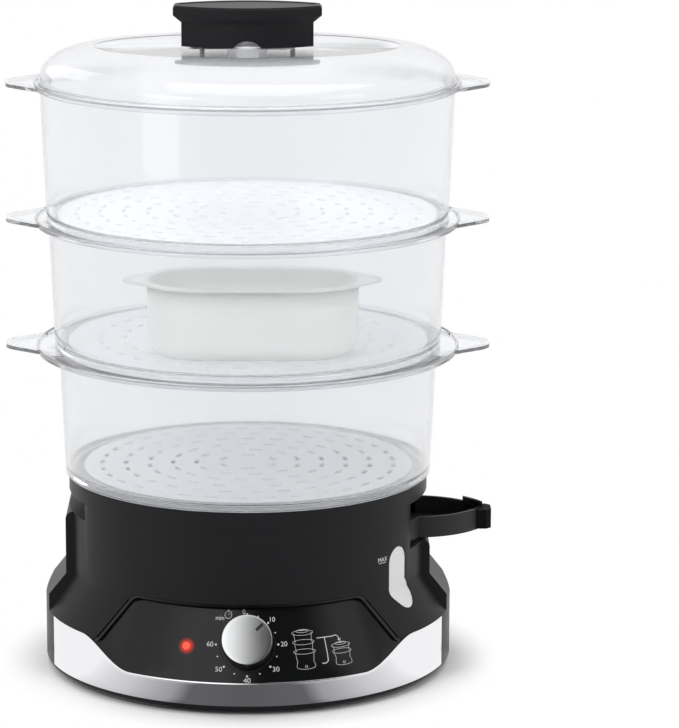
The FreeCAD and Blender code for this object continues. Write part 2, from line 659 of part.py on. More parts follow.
def heater():
    """Stainless plate in the tank's floor, its gasket, clamp ring, element, thermostat and fuse."""
    plate_low = S.tankFloor + S.gasketWall + 0.1
    node(turned("heating_plate", [
        (0, plate_low - 3), (S.elementRadius - 8, plate_low - 3), (S.elementRadius - 5, plate_low),
        (S.plateRadius, plate_low), (S.plateRadius, plate_low + S.plateWall),
        (S.elementRadius - 5.6, plate_low + S.plateWall),
        (S.elementRadius - 8.6, plate_low + S.plateWall - 3),
        (0, plate_low + S.plateWall - 3)]))
    node(turned("heater_gasket", [
        (S.heaterHole - 1, S.tankFloor + 0.05), (S.plateRadius - 0.6, S.tankFloor + 0.05),
        (S.plateRadius - 0.6, plate_low - 0.05), (S.heaterHole - 1, plate_low - 0.05)]))
    element = doc.addObject("Part::Torus", "elementRing")
    bind(element, Radius1=S.elementRadius, Radius2=S.elementTube, Placement__Base__z=plate_low - S.elementTube - 0.05)
    gap = box("elementGap", (-4, -S.elementRadius - 8, 0), (4, -S.elementRadius + 8, 60))
    legs = [rod("elementLeg%d" % k, S.elementTube - 0.4, 13, side * 7.5,
                1.3 - S.elementRadius, plate_low - S.elementTube - 13)
            for k, side in enumerate((-1, 1))]
    node(join("heating_element", cut("elementOpen", element, gap), *legs))
    ring_low = S.tankFloor - S.wall - 2.2
    bracket = turned("clampTurned", [
        (S.heaterHole - 4.5, ring_low), (S.heaterHole + 5, ring_low), (S.heaterHole + 5, ring_low + 2),
        (S.heaterHole - 1.2, ring_low + 2), (S.heaterHole - 1.2, plate_low - 0.1),
        (S.heaterHole - 2.6, plate_low - 0.1), (S.heaterHole - 2.6, ring_low + 2),
        (S.heaterHole - 4.5, ring_low + 2)])
    node(bracket)
    bracket.Label = "element_clamp"
    disc_top = plate_low - 3 - 0.1
    node(join("thermostat", rod("statDisc", 8, 5, z=disc_top - 5), rod("statCap", 6, 5, z=disc_top - 10),
              box("statTabs", (-11, -2, disc_top - 9), (11, 2, disc_top - 8))))
    fuse = rod("fuseBody", 2.2, 14)
    bind(fuse, Placement__Base__x=-7, Placement__Base__y=11.5, Placement__Base__z=disc_top - 2.6)
    fuse.Placement.Rotation = Rotation(Vector(0, 1, 0), 90)
    clip = box("fuseClip", (-3, 9, disc_top - 5.4), (3, 14, disc_top))
    node(join("thermal_fuse", fuse, clip))
    turbo()


def turbo():
    """Loose ring round the heater that makes the first steam quickly."""
    low = S.tankFloor + S.liftGap
    shell = turned("turboTurned", [
        (S.turboRadius - S.turboWall, low), (S.turboRadius, low), (S.turboRadius - 4, S.turboTop),
        (S.turboRadius - 4 - S.turboWall, S.turboTop)])
    gaps = [box("turboGapX", (-60, -5, 0), (60, 5, low + 6)), box("turboGapY", (-5, -60, 0), (5, 60, low + 6))]
    vents = [rod_at("turboVentX", 2.5, 120, toward(Vector(-60, 0, 80), Vector(1, 0, 0))),
             rod_at("turboVentY", 2.5, 120, toward(Vector(0, -60, 80), BACK))]
    node(cut("turbo_ring", shell, *gaps, *vents))


def wiring():
    """Terminal block by the cord's gland, and the two leads to the element."""
    front = S.terminalFront
    block = box("terminalBase", (-13, front, S.coverTop), (13, front + 12, S.coverTop + 16))
    wells = [rod("terminalWell%d" % k, 2, 6, x, front + 6, S.coverTop + 11) for k, x in enumerate((-8, 0, 8))]
    node(cut("terminal_block", block, *wells))
    for name, side in (("live_lead", -1), ("neutral_lead", 1)):
        node(made(name, lead(side)))


def lead(side):
    """Wire from the terminal block under the tank to an element leg: straight runs and tangent arcs."""
    foot = S.tankFloor.value + S.gasketWall.value + 0.1 - S.elementTube.value - 13.2
    front, level = S.terminalFront.value, S.coverTop.value + 8
    leg_y = 1.3 - S.elementRadius.value
    points = [Vector(side * 8, front, level), Vector(side * 8, front - 9, level),
              Vector(side * 20, front - 19, level + 1), Vector(side * 30, 40, level + 2),
              Vector(side * 26, 8, level + 2), Vector(side * 12, -12, level + 3),
              Vector(side * 7.5, leg_y, level + 5), Vector(side * 7.5, leg_y, foot)]
    return tube(points, 1.1)


def tube(points, radius):
    edges, start = [], points[0]
    for before, corner, after in zip(points, points[1:], points[2:]):
        into, out = (corner - before).normalize(), (after - corner).normalize()
        cut_back = 0.45 * min((corner - before).Length, (after - corner).Length)
        first, last = corner - into * cut_back, corner + out * cut_back
        edges.append(Part.makeLine(start, first))
        edges.append(Part.Arc(first, middle_of_arc(first, corner, last), last).toShape())
        start = last
    edges.append(Part.makeLine(start, points[-1]))
    path = Part.Wire(edges)
    circle = Part.Wire([Part.makeCircle(radius, points[0], (points[1] - points[0]).normalize())])
    return path.makePipeShell([circle], True, False)


def middle_of_arc(first, corner, last):
    """Point half way along the arc that touches both runs at first and last."""
    half_chord = (last - first).Length / 2
    middle = (first + last) * 0.5
    height = (corner - middle).Length
    leg = (corner - first).Length
    sagitta = half_chord * (leg - half_chord) / height
    return middle + (corner - middle).normalize() * sagitta


# --- spout ---------------------------------------------------------------------------------

def spout_outline(body, low, inset):
    """Plan of the filler: wide root, neck, and a bow that ends in a point."""
    root = S.spoutRoot - (0 if inset.value == 0 else 2)
    flare, half, tip = S.spoutFlare - inset, S.spoutHalf - inset, S.spoutTip - inset * 1.6
    knee = S.spoutRoot + 6
    sketch = sketch_in(body, "XY_Plane", low)
    outline(sketch, [(root, -flare), (knee, -flare), (S.spoutNeck, -half), (tip, 0), (S.spoutNeck, half),
                     (knee, flare), (root, flare)], {2: S.spoutBow - inset, 3: S.spoutBow - inset})
    return sketch


def spout():
    """Pull-out water filler: a boat-shaped tray, open at its root, with a finger grip at its tip."""
    body = new_body("spoutTray")
    add_pad(body, spout_outline(body, S.spoutFloor, term(0)), S.spoutRim - S.spoutFloor)
    add_pad(body, spout_outline(body, S.spoutFloor + S.spoutWall, S.spoutWall), 40, cut=True, backwards=True)
    grip = prism("spoutGrip", "XY_Plane", [
        (S.spoutTip - S.gripRoot, -S.gripHalf), (S.gripReach - 3, -S.gripHalf),
        (S.gripReach, -S.gripHalf + 3),
        (S.gripReach, S.gripHalf - 3), (S.gripReach - 3, S.gripHalf), (S.spoutTip - S.gripRoot, S.gripHalf),
        (S.spoutTip - 1, 0)], S.spoutFloor + 0.5, S.spoutRim - S.spoutFloor - 1)
    lip = new_body("spoutLip")
    add_pad(lip, spout_outline(lip, S.spoutRim - 1, term(0)), S.lipRise + 1)
    add_pad(lip, spout_outline(lip, S.spoutRim - 1, S.spoutWall), 40, cut=True, backwards=True)
    rear = box("lipRear", (S.lipStart, term(1), S.spoutRim - 1), (S.gripReach, S.spoutFlare, S.spoutRim + 9))
    node(join("filler_spout", body, grip, common("spoutLipKept", lip, rear)))


# --- drip tray and bowls ---------------------------------------------------------------------

def drip_tray():
    """Shallow juice tray below the bowls: a wall, a plate sealed into it for a floor, a rim with steam slots."""
    rim_low = S.ledgeHeight + 2.1 + S.liftGap
    wall, floor, edge = S.dripWall, S.dripFloor, S.dripPlateEdge
    plate_low = floor + wall - S.dripPlate
    inner = S.dripRadius - wall
    node(turned("drip_tray", [
        (edge - S.slotPlateLip, floor), (S.dripRadius - 3, floor), (S.dripRadius, floor + 3),
        (S.dripRadius, rim_low - S.seam), (inner, rim_low - S.seam), (inner, floor + 3.6),
        (S.dripRadius - 3.6, floor + wall), (edge, floor + wall), (edge, plate_low - S.seam),
        (edge - S.slotPlateLip, plate_low - S.seam)]))
    rim = turned("dripRimTurned", [
        (inner, rim_low), (S.dripRim, rim_low), (S.dripRim, rim_low + wall), (inner, rim_low + wall)])
    slots = arc_slots("dripSlots", S.dripRadius.value + 0.8, S.tankRadius.value - S.wall.value - 0.2, 12, 20,
                      rim_low.value - 1, rim_low.value + 4)
    node(cut("drip_rim", rim, slots))
    node(rod("drip_plate", edge - S.seam, S.dripPlate, z=plate_low))


def arc_slots(name, inner, outer, count, spread, low, high):
    """Ring of curved slots between two radii."""
    solids = []
    for k in range(count):
        sector = Part.makeCylinder(outer, high - low, Vector(0, 0, low), Vector(0, 0, 1), spread)
        sector = sector.cut(Part.makeCylinder(inner, high - low, Vector(0, 0, low)))
        sector.rotate(Vector(0, 0, 0), Vector(0, 0, 1), k * 360 / count - spread / 2)
        solids.append(sector)
    return made(name, Part.makeCompound(solids))


def floor_slots(name, reach, low, high):
    """Rings of short straight slots, turned to follow their circle."""
    solids = []
    radius, length, width = S.slotInner.value, S.slotLength.value, S.slotWidth.value
    while radius < reach - width:
        count = int(2 * math.pi * radius / S.slotPitch.value)
        for k in range(count):
            corner = Vector(radius - width / 2, (width - length) / 2, low)
            slot = Part.makeBox(width, length - width, high - low, corner)
            for end in (-1, 1):
                slot = slot.fuse(Part.makeCylinder(width / 2, high - low,
                                                   Vector(radius, end * (length - width) / 2, low)))
            slot = slot.removeSplitter()
            slot.rotate(Vector(0, 0, 0), Vector(0, 0, 1), (k + 0.5) * 360 / count)
            solids.append(slot)
        radius += S.slotStep.value
    return made(name, Part.makeCompound(solids))


def ear_outline(body, low, inset, side):
    """Plan of one lifting ear: a tapered tongue with a round tip."""
    tip_radius = S.earTip - inset
    centre = S.earReach - S.earTip
    root_x = S.earRoot + (0 if inset.value == 0 else 6)
    root_half = S.earRootHalf - inset * 1.4 - (0 if inset.value == 0 else 9)
    touch_x, touch_y = centre + tip_radius * 0.62, tip_radius * 0.785
    points = [(root_x, -root_half), (touch_x, -touch_y), (touch_x, touch_y), (root_x, root_half)]
    arcs = {1: tip_radius}
    if side < 0:
        points = [(-x, -y) for x, y in points]
    sketch = sketch_in(body, "XY_Plane", low)
    outline(sketch, points, arcs)
    return sketch


def bowl(name, foot, seat, flange, spigot):
    """Steaming bowl: flared wall, spigot for the piece below, flange with two ears, slotted plate on a lip.

    foot is the outer radius at the bottom, seat the height it stands on, flange the top of its flange.
    """
    wall, low = S.bowlWall, seat + S.liftGap
    top, under = flange, flange - S.flangeWall
    mouth = foot + S.bowlFlare
    floor = low + S.floorRise
    plate_edge = spigot - wall
    shelf = floor + wall - S.slotPlate
    body = turned(name + "Turned", [
        (plate_edge - S.slotPlateLip, floor), (plate_edge, floor), (plate_edge, low - S.spigotDrop),
        (spigot, low - S.spigotDrop), (spigot, floor), (foot - wall, floor), (foot - wall, low), (foot, low),
        (mouth, under), (S.flangeRadius, under), (S.flangeRadius, top + S.flangeBead),
        (S.flangeRadius - S.earBeadWidth, top + S.flangeBead), (S.flangeRadius - S.earBeadWidth, top),
        (mouth - wall, top), (foot - wall, floor + wall), (plate_edge, floor + wall), (plate_edge, shelf - S.seam),
        (plate_edge - S.slotPlateLip, shelf - S.seam)])
    for side in (-1, 1):
        ear = ear_outline(body, under, term(0), side)
        add_pad(body, ear, S.flangeWall + S.flangeBead)
    for side in (-1, 1):
        dish = ear_outline(body, top, S.earBeadWidth, side)
        add_pad(body, dish, 10, cut=True, backwards=True)
    well = rod(name + "Well", S.flangeRadius - S.earBeadWidth, 10, z=top)
    bore = rod(name + "Mouth", mouth - wall, 10, z=under)
    ribs = []
    for side in (-1, 1):
        ribs.append(box("%sEarRib%d" % (name, side > 0), (S.flangeRadius + 1.5 if side > 0 else 4 - S.earReach,
                                                          -2.2, top - 0.2),
                        (S.earReach - 4 if side > 0 else -S.flangeRadius - 1.5, 2.2, top + S.flangeBead)))
    node(join(name, cut(name + "Opened", body, well, bore), *ribs))
    plate = rod(name + "Plate", plate_edge - S.seam, S.slotPlate, z=shelf)
    slots = floor_slots(name + "Slots", plate_edge.value - S.slotPlateLip.value, shelf.value - 1, shelf.value + 3)
    node(cut(name.replace("bowl", "plate"), plate, slots))


def bowls():
    ring_inner = S.bodyRadius - S.ringLip
    bowl("lower_bowl", S.lowFoot, S.ringTop, S.lowFlange, ring_inner - S.spigotGap)
    bowl("middle_bowl", S.midFoot, S.lowFlange, S.midFlange, S.lowFoot + S.bowlFlare - S.bowlWall - S.spigotGap)
    bowl("upper_bowl", S.topFoot, S.midFlange, S.topFlange, S.midFoot + S.bowlFlare - S.bowlWall - S.spigotGap)


def oval_points(half_x, half_y, end_half):
    """Two long arcs joined by short straight ends; gives the points and the arcs' radius."""
    drop = half_y - end_half
    radius = (half_x * half_x + drop * drop) / (drop * 2)
    points = [(-half_x, -end_half), (half_x, -end_half), (half_x, end_half), (-half_x, end_half)]
    return points, {0: radius, 2: radius}


def rice_bowl():
    """Oval bowl for rice, with a flat rim drawn out into two ears."""
    low = S.lowFlange + S.liftGap * 2 + S.floorRise + S.bowlWall
    body = new_body("riceBody")
    sketch = sketch_in(body, "XY_Plane", low)
    rounded_oblong(sketch, S.riceHalfX - 1.6, S.riceHalfY - 1.6)
    add_pad(body, sketch, S.riceHeight)
    doc.recompute()
    low_edges = lambda edge: all(abs(v.Z - low.value) < EPS for v in edge.Vertexes)
    round_edges(body, low_edges, 9)
    rim = sketch_in(body, "XY_Plane", low + S.riceHeight - S.riceWall)
    rounded_oblong(rim, S.riceHalfX + S.riceRim, S.riceHalfY + S.riceRim)
    add_pad(body, rim, S.riceWall)
    ears = sketch_in(body, "XY_Plane", low + S.riceHeight - S.riceWall)
    points, arcs = oval_points(S.riceEar, term(24), term(6))
    outline(ears, [(x + S.riceX, y + S.riceY) for x, y in points], arcs)
    add_pad(body, ears, S.riceWall)
    inner = new_body("riceInner")
    hole = sketch_in(inner, "XY_Plane", low + S.riceWall)
    rounded_oblong(hole, S.riceHalfX - 1.6 - S.riceWall, S.riceHalfY - 1.6 - S.riceWall)
    add_pad(inner, hole, S.riceHeight + 5)
    doc.recompute()
    inner_low = low + S.riceWall
    round_edges(inner, lambda edge: all(abs(v.Z - inner_low.value) < EPS for v in edge.Vertexes), 8)
    node(cut("rice_bowl", body, inner))


def rounded_oblong(sketch, half_x, half_y):
    """Oblong with half-round ends, centred on the rice bowl's place."""
    straight = half_x - half_y
    points = [(-straight, -half_y), (straight, -half_y), (half_x, 0), (straight, half_y), (-straight, half_y),
              (-half_x, 0)]
    outline(sketch, [(x + S.riceX, y + S.riceY) for x, y in points],
            {1: half_y, 2: half_y, 4: half_y, 5: half_y})


# --- lid -------------------------------------------------------------------------------------

def dome(name, inset, low):
    """Solid of the lid's shoulder: round at the rim, oval at the top."""
    rim, top = S.lidRim.value - inset, S.lidTop.value - inset
    side_top = S.topFlange.value + S.liftGap.value + S.lidSide.value
    wires = []
    for share in (0.0, 0.2, 0.38, 0.54, 0.68, 0.8, 0.89, 0.96, 1.0):
        ease = 1 - math.sqrt(1 - share ** 2)
        half_x = rim + (S.lidTopX.value - inset - rim) * ease
        half_y = rim + (S.lidTopY.value - inset - rim) * ease
        height = side_top + (top - side_top) * share
        if half_x > half_y:
            outline_curve = Part.Ellipse(Vector(0, 0, height), half_x, half_y)
        else:
            outline_curve = Part.Circle(Vector(0, 0, height), Vector(0, 0, 1), rim)
        wires.append(Part.Wire([outline_curve.toShape()]))
    shoulder = Part.makeLoft(wires, True, True)
    return made(name, Part.makeCylinder(rim, side_top - low, Vector(0, 0, low)).fuse(shoulder))


def lid():
    low = S.topFlange + S.liftGap
    mouth = S.topFoot + S.bowlFlare - S.bowlWall
    outer = dome("lidOuter", 0.0, low.value)
    inner = dome("lidInner", S.lidWall.value, low.value - 1)
    rim = turned("lidRimTurned", [
        (mouth - S.spigotGap - S.lidWall, low - S.spigotDrop), (mouth - S.spigotGap, low - S.spigotDrop),
        (mouth - S.spigotGap, low), (S.flangeRadius - S.earBeadWidth - 0.8, low),
        (S.flangeRadius - S.earBeadWidth - 0.8, low + S.lidWall), (mouth - S.spigotGap - S.lidWall, low + S.lidWall)])
    vent = rod("lidVent", S.ventRadius, 9, z=S.lidTop - S.lidWall)
    vent_core = rod("lidVentCore", S.ventRadius - 1.6, 12, z=S.lidTop - S.lidWall - 5)
    vent_mid = S.lidTop.value + 4
    vent_holes = [rod_at("lidVentSideX", 1.8, 60, toward(Vector(-30, 0, vent_mid), Vector(1, 0, 0))),
                  rod_at("lidVentSideY", 1.8, 60, toward(Vector(0, -30, vent_mid), BACK))]
    screw_holes = [rod("lidScrewHole%d" % k, S.screwRadius + 0.2, 12, S.handleScrewX * side, 0, S.lidTop - 6)
                   for k, side in enumerate((-1, 1))]
    shell = cut("lidShell", outer, inner)
    node(cut("lid", join("lidSolid", shell, rim, vent), vent_core, *vent_holes, *screw_holes))


def handle():
    """Hollow lid handle: oval stem, sloping neck and a wider cap, with a steam notch in front and behind."""
    seat = S.lidTop + 0.2
    cap_low = S.handleTop - S.capHeight
    neck_low = cap_low - S.capSlope
    stem_x, stem_y = S.handleHalf - S.stemInset, S.handleDepth - S.stemInset * 0.8
    body = new_body("handleBody")
    for low, high, half_x, half_y in ((seat, neck_low, stem_x, stem_y),
                                      (cap_low, S.handleTop, S.handleHalf, S.handleDepth)):
        sketch = sketch_in(body, "XY_Plane", low)
        points, arcs = oval_points(half_x, half_y, S.handleEnd)
        outline(sketch, points, arcs)
        if low is seat:
            add_pad(body, sketch, high - low)
    sketches = [obj for obj in body.Group if obj.isDerivedFrom("Sketcher::SketchObject")]
    neck_sketch = sketch_in(body, "XY_Plane", neck_low)
    points, arcs = oval_points(stem_x, stem_y, S.handleEnd)
    outline(neck_sketch, points, arcs)
    neck = body.newObject("PartDesign::AdditiveLoft", "handleNeck")
    neck.Profile = neck_sketch
    neck.Sections = [sketches[-1]]
    neck.Ruled = True
    cap_pad = body.newObject("PartDesign::Pad", "handleCap")
    cap_sketch = sketch_in(body, "XY_Plane", cap_low)
    points, arcs = oval_points(S.handleHalf, S.handleDepth, S.handleEnd)
    outline(cap_sketch, points, arcs)
    cap_pad.Profile = cap_sketch
    bind(cap_pad, Length=S.capHeight)
    top_edges = lambda edge: all(abs(v.Z - S.handleTop.value) < EPS for v in edge.Vertexes)
    round_edges(body, top_edges, 1.2)
    points, arcs = oval_points(stem_x - S.handleWall, stem_y - S.handleWall, S.handleEnd - S.handleWall * 0.4)
    hollow = prism("handleHollow", "XY_Plane", points, seat - 1, S.handleTop - seat - S.handleWall + 1, arcs)
    notch = rod_at("handleNotch", S.notchRadius, 80, toward(Vector(0, -40, seat.value - S.notchDrop.value), BACK))
    posts = [rod("handlePost%d" % k, S.screwRadius + 2.2, S.handleTop - seat - S.handleWall + 0.5,
                 S.handleScrewX * side, 0, seat) for k, side in enumerate((-1, 1))]
    bores = [rod("handleBore%d" % k, S.screwRadius, 12, S.handleScrewX * side, 0, seat - 1)
             for k, side in enumerate((-1, 1))]
    shell = cut("handleShell", body, hollow, notch)
    node(cut("lid_handle", join("handleSolid", shell, *posts), *bores))
    screws = [join("lidScrew%d" % k, rod("lidShank%d" % k, S.screwRadius - 0.1, 12, S.handleScrewX * side, 0,
                                         S.lidTop - S.lidWall - 1),
                   rod("lidHead%d" % k, S.screwHead, 1.8, S.handleScrewX * side, 0, S.lidTop - S.lidWall - 2))
              for k, side in enumerate((-1, 1))]
    node(group("lid_handle_screws", *screws))


def gland():
    """Rubber gland where the cord leaves the back of the base."""
    length = S.glandReach - 118
    body = turned("glandTurned", [
        (S.glandBore, 0), (S.glandRadius + 1.5, 0), (S.glandRadius + 1.5, 2.5), (S.glandRadius - 1.1, 2.5),
        (S.glandRadius - 1.1, 7), (S.glandRadius, 7), (S.glandRadius - 1.2, length), (S.glandBore, length)])
    place = Placement(Vector(0, 118, S.glandHeight.value), Rotation(Vector(1, 0, 0), -90))
    node(placed("cord_gland", body, place))


housing()
collar()
grip_pockets()
chrome_band()
control_panel()
lamp()
knob()
timer()
window()
tank()
bottom()
heater()
wiring()
spout()
drip_tray()
bowls()
rice_bowl()
lid()
handle()
gland()
doc.recompute()

for obj in doc.Objects:
    if "Invalid" in obj.State or "Error" in obj.State:
        raise SystemExit("%s failed: %s" % (obj.Label, obj.State))
for obj in nodes:
    if obj.Shape.isNull() or not obj.Shape.isValid() or not obj.Shape.Solids:
        raise SystemExit("%s has no valid solid" % obj.Label)
for obj in nodes:
    obj.Shape.exportStep("parts/%s.step" % obj.Label)
    print("%-20s solids %d, volume %.1f cm3" % (obj.Label, len(obj.Shape.Solids), obj.Shape.Volume / 1000))
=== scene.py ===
import json
import math
import bmesh
import bpy
from mathutils import Matrix, Vector


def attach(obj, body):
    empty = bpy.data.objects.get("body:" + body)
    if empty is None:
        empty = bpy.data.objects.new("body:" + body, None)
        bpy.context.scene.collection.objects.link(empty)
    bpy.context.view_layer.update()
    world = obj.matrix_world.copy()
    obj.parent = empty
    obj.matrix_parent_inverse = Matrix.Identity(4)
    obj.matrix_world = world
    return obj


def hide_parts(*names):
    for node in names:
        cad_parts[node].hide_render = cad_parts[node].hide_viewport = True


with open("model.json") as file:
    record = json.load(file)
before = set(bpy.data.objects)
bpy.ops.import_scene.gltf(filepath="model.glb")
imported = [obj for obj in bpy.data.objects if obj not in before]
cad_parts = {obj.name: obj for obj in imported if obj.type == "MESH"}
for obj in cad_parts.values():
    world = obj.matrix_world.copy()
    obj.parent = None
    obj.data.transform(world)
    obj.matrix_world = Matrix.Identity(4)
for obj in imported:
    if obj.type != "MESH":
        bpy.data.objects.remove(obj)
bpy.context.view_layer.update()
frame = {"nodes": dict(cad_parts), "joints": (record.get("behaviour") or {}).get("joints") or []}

cadNodes = frame["nodes"]
joints = {joint["name"]: joint for joint in frame["joints"]}
mm = 0.001
print("frame loaded:", len(cadNodes), "nodes")

camera = {
    "place": (0.012, -2.0863, 0.6394),
    "pitch": 12.325,  # degrees below level
    "shift": (72, 1.5),  # in pixels of the frame: the steamer stands left of the middle
    "focal": 3494,  # in pixels of the frame
    "frameHeight": 728,
    "sensor": 36,
    "clip": (0.05, 60),
}
studio = {
    "lightBounces": 24,  # light goes through many thin clear walls
    "floorSize": 16,
    "floorDrop": 0.0003,
    "floorPaper": "#ececec",  # what lights the object from below
    "floorWhite": "#fbfbfc",  # what the camera sees near the base
    "floorFade": (0.126, 0.157),  # metres from the middle: shadowed paper, then plain white
    "ambient": 0.62,
    "front": (1.5, 0.06),  # how bright the room in front looks in gloss, from its left to its right
    "frontTurn": (-0.27, 0.17),
    "frontEdge": (-0.7, -0.4),
    "flagReach": (0.0, 1.7),  # card on the floor ahead of the base, seen only in gloss
    "flagHalf": 1.6,
    "flagLift": 0.0004,
    "flagTones": [(0.0, "#5e5e60"), (0.18, "#66666a"), (0.24, "#a2a2a4"), (0.45, "#d2d2d4"),
                  (0.95, "#ffffff")],
    "lamps": [  # name, place, aim, width, height, watts
        ("keyLamp", (-1.5, -1.5, 1.7), (0, 0, 0.18), 1.1, 1.1, 15),
        ("fillLamp", (1.7, -1.2, 1.1), (0, 0, 0.15), 1.0, 1.4, 9),
        ("topLamp", (0.1, 0.3, 2.0), (0, 0, 0.3), 1.4, 1.4, 13),
        ("rimLamp", (-1.2, 1.6, 1.2), (0, 0, 0.25), 0.9, 1.2, 8),
    ],
}


def toLinear(hexColour):
    parts = [int(hexColour[i:i + 2], 16) / 255 for i in (1, 3, 5)]
    return tuple(p / 12.92 if p <= 0.04045 else ((p + 0.055) / 1.055) ** 2.4 for p in parts) + (1.0,)


# adds one node: settings go to its sockets or properties, links join other nodes' outputs to its inputs
def addNode(tree, kind, settings=None, links=None):
    node = tree.nodes.new(kind)
    for key, value in (settings or {}).items():
        if isinstance(key, int) or key in node.inputs:
            node.inputs[key].default_value = value
        else:
            setattr(node, key, value)
    for key, output in (links or {}).items():
        tree.links.new(output, node.inputs[key])
    return node


def newMaterial(name):
    material = bpy.data.materials.new(name)
    material.use_nodes = True
    material.node_tree.nodes.clear()
    return material, material.node_tree


def surfaced(material, shader):
    addNode(material.node_tree, "ShaderNodeOutputMaterial", links={"Surface": shader.outputs[0]})
    return material


def newObject(name, data):
    made = bpy.data.objects.new(name, data)
    bpy.context.scene.collection.objects.link(made)
    return made


def buildCamera():
    data = bpy.data.cameras.new("mainCamera")
    data.sensor_fit = "VERTICAL"
    data.sensor_height = camera["sensor"]
    data.lens = camera["focal"] * camera["sensor"] / camera["frameHeight"]
    data.shift_x, data.shift_y = (part / camera["frameHeight"] for part in camera["shift"])
    data.clip_start, data.clip_end = camera["clip"]
    holder = newObject("mainCamera", data)
    holder.location = camera["place"]
    holder.rotation_euler = (math.radians(90 - camera["pitch"]), 0, 0)
    bpy.context.scene.camera = holder


# white to the eye and through clear parts, a turn from bright to dark in gloss, soft light elsewhere
def buildRoom():
    scene = bpy.context.scene
    scene.view_settings.view_transform = "Standard"
    scene.cycles.max_bounces = studio["lightBounces"]
    scene.cycles.transmission_bounces = studio["lightBounces"]
    scene.cycles.transparent_max_bounces = studio["lightBounces"]
    world = bpy.data.worlds.new("studioRoom")
    scene.world = world
    world.use_nodes = True
    tree = world.node_tree
    tree.nodes.clear()
    path = addNode(tree, "ShaderNodeLightPath")
    direction = addNode(tree, "ShaderNodeTexCoord")
    axes = addNode(tree, "ShaderNodeSeparateXYZ", links={0: direction.outputs["Generated"]})
    turnStart, turnEnd = studio["frontTurn"]
    bright, dark = studio["front"]
    leftLit = addNode(tree, "ShaderNodeMapRange", {
        "interpolation_type": "SMOOTHSTEP", "From Min": turnStart, "From Max": turnEnd,
        "To Min": bright, "To Max": dark}, {"Value": axes.outputs["X"]})
    edgeStart, edgeEnd = studio["frontEdge"]
    roomFront = addNode(tree, "ShaderNodeMapRange", {
        "interpolation_type": "SMOOTHSTEP", "From Min": edgeStart, "From Max": edgeEnd, "To Max": 1.0},
        {"Value": axes.outputs["Y"], "To Min": leftLit.outputs["Result"]})
    gloss = addNode(tree, "ShaderNodeMix", {"data_type": "FLOAT", 2: studio["ambient"]},
                    {0: path.outputs["Is Glossy Ray"], 3: roomFront.outputs["Result"]})
    seen = addNode(tree, "ShaderNodeMath", {"operation": "MAXIMUM"},
                   {0: path.outputs["Is Camera Ray"], 1: path.outputs["Is Transmission Ray"]})
    level = addNode(tree, "ShaderNodeMix", {"data_type": "FLOAT", 3: 1.0},
                    {0: seen.outputs[0], 2: gloss.outputs[0]})
    glow = addNode(tree, "ShaderNodeBackground", {"Color": (1, 1, 1, 1)}, {"Strength": level.outputs[0]})
    addNode(tree, "ShaderNodeOutputWorld", links={"Surface": glow.outputs[0]})


# pale paper that keeps the steamer's shadow near the base and fades to plain white further out
def buildFloor():
    bm = bmesh.new()
    bmesh.ops.create_grid(bm, x_segments=2, y_segments=2, size=studio["floorSize"] / 2)
    bmesh.ops.translate(bm, verts=bm.verts, vec=(0, 0, -studio["floorDrop"]))
    floor = meshObject("studioFloor", bm)
    material, tree = newMaterial("studioFloorPaper")
    path = addNode(tree, "ShaderNodeLightPath")
    seen = addNode(tree, "ShaderNodeMath", {"operation": "MAXIMUM"},
                   {0: path.outputs["Is Camera Ray"], 1: path.outputs["Is Transmission Ray"]})
    colour = addNode(tree, "ShaderNodeMix", {
        "data_type": "RGBA", 6: toLinear(studio["floorPaper"]), 7: toLinear(studio["floorWhite"])},
        {0: seen.outputs[0]})
    paper = addNode(tree, "ShaderNodeBsdfPrincipled", {"Roughness": 0.9, "Specular IOR Level": 0.0},
                    {"Base Color": colour.outputs[2]})
    spot = addNode(tree, "ShaderNodeTexCoord").outputs["Object"]
    reach = addNode(tree, "ShaderNodeVectorMath", {"operation": "LENGTH"}, {0: spot})
    near, far = studio["floorFade"]
    fade = addNode(tree, "ShaderNodeMapRange", {
        "interpolation_type": "SMOOTHSTEP", "From Min": near, "From Max": far},
        {"Value": reach.outputs["Value"]})
    viewed = addNode(tree, "ShaderNodeMath", {"operation": "MAXIMUM"},
                     {0: seen.outputs[0], 1: path.outputs["Is Glossy Ray"]})
    share = addNode(tree, "ShaderNodeMath", {"operation": "MULTIPLY"},
                    {0: viewed.outputs[0], 1: fade.outputs[0]})
    white = addNode(tree, "ShaderNodeEmission", {"Color": (1, 1, 1, 1), "Strength": 1.0})
    mix = addNode(tree, "ShaderNodeMixShader",
                  links={0: share.outputs[0], 1: paper.outputs[0], 2: white.outputs[0]})
    floor.data.materials.append(surfaced(material, mix))


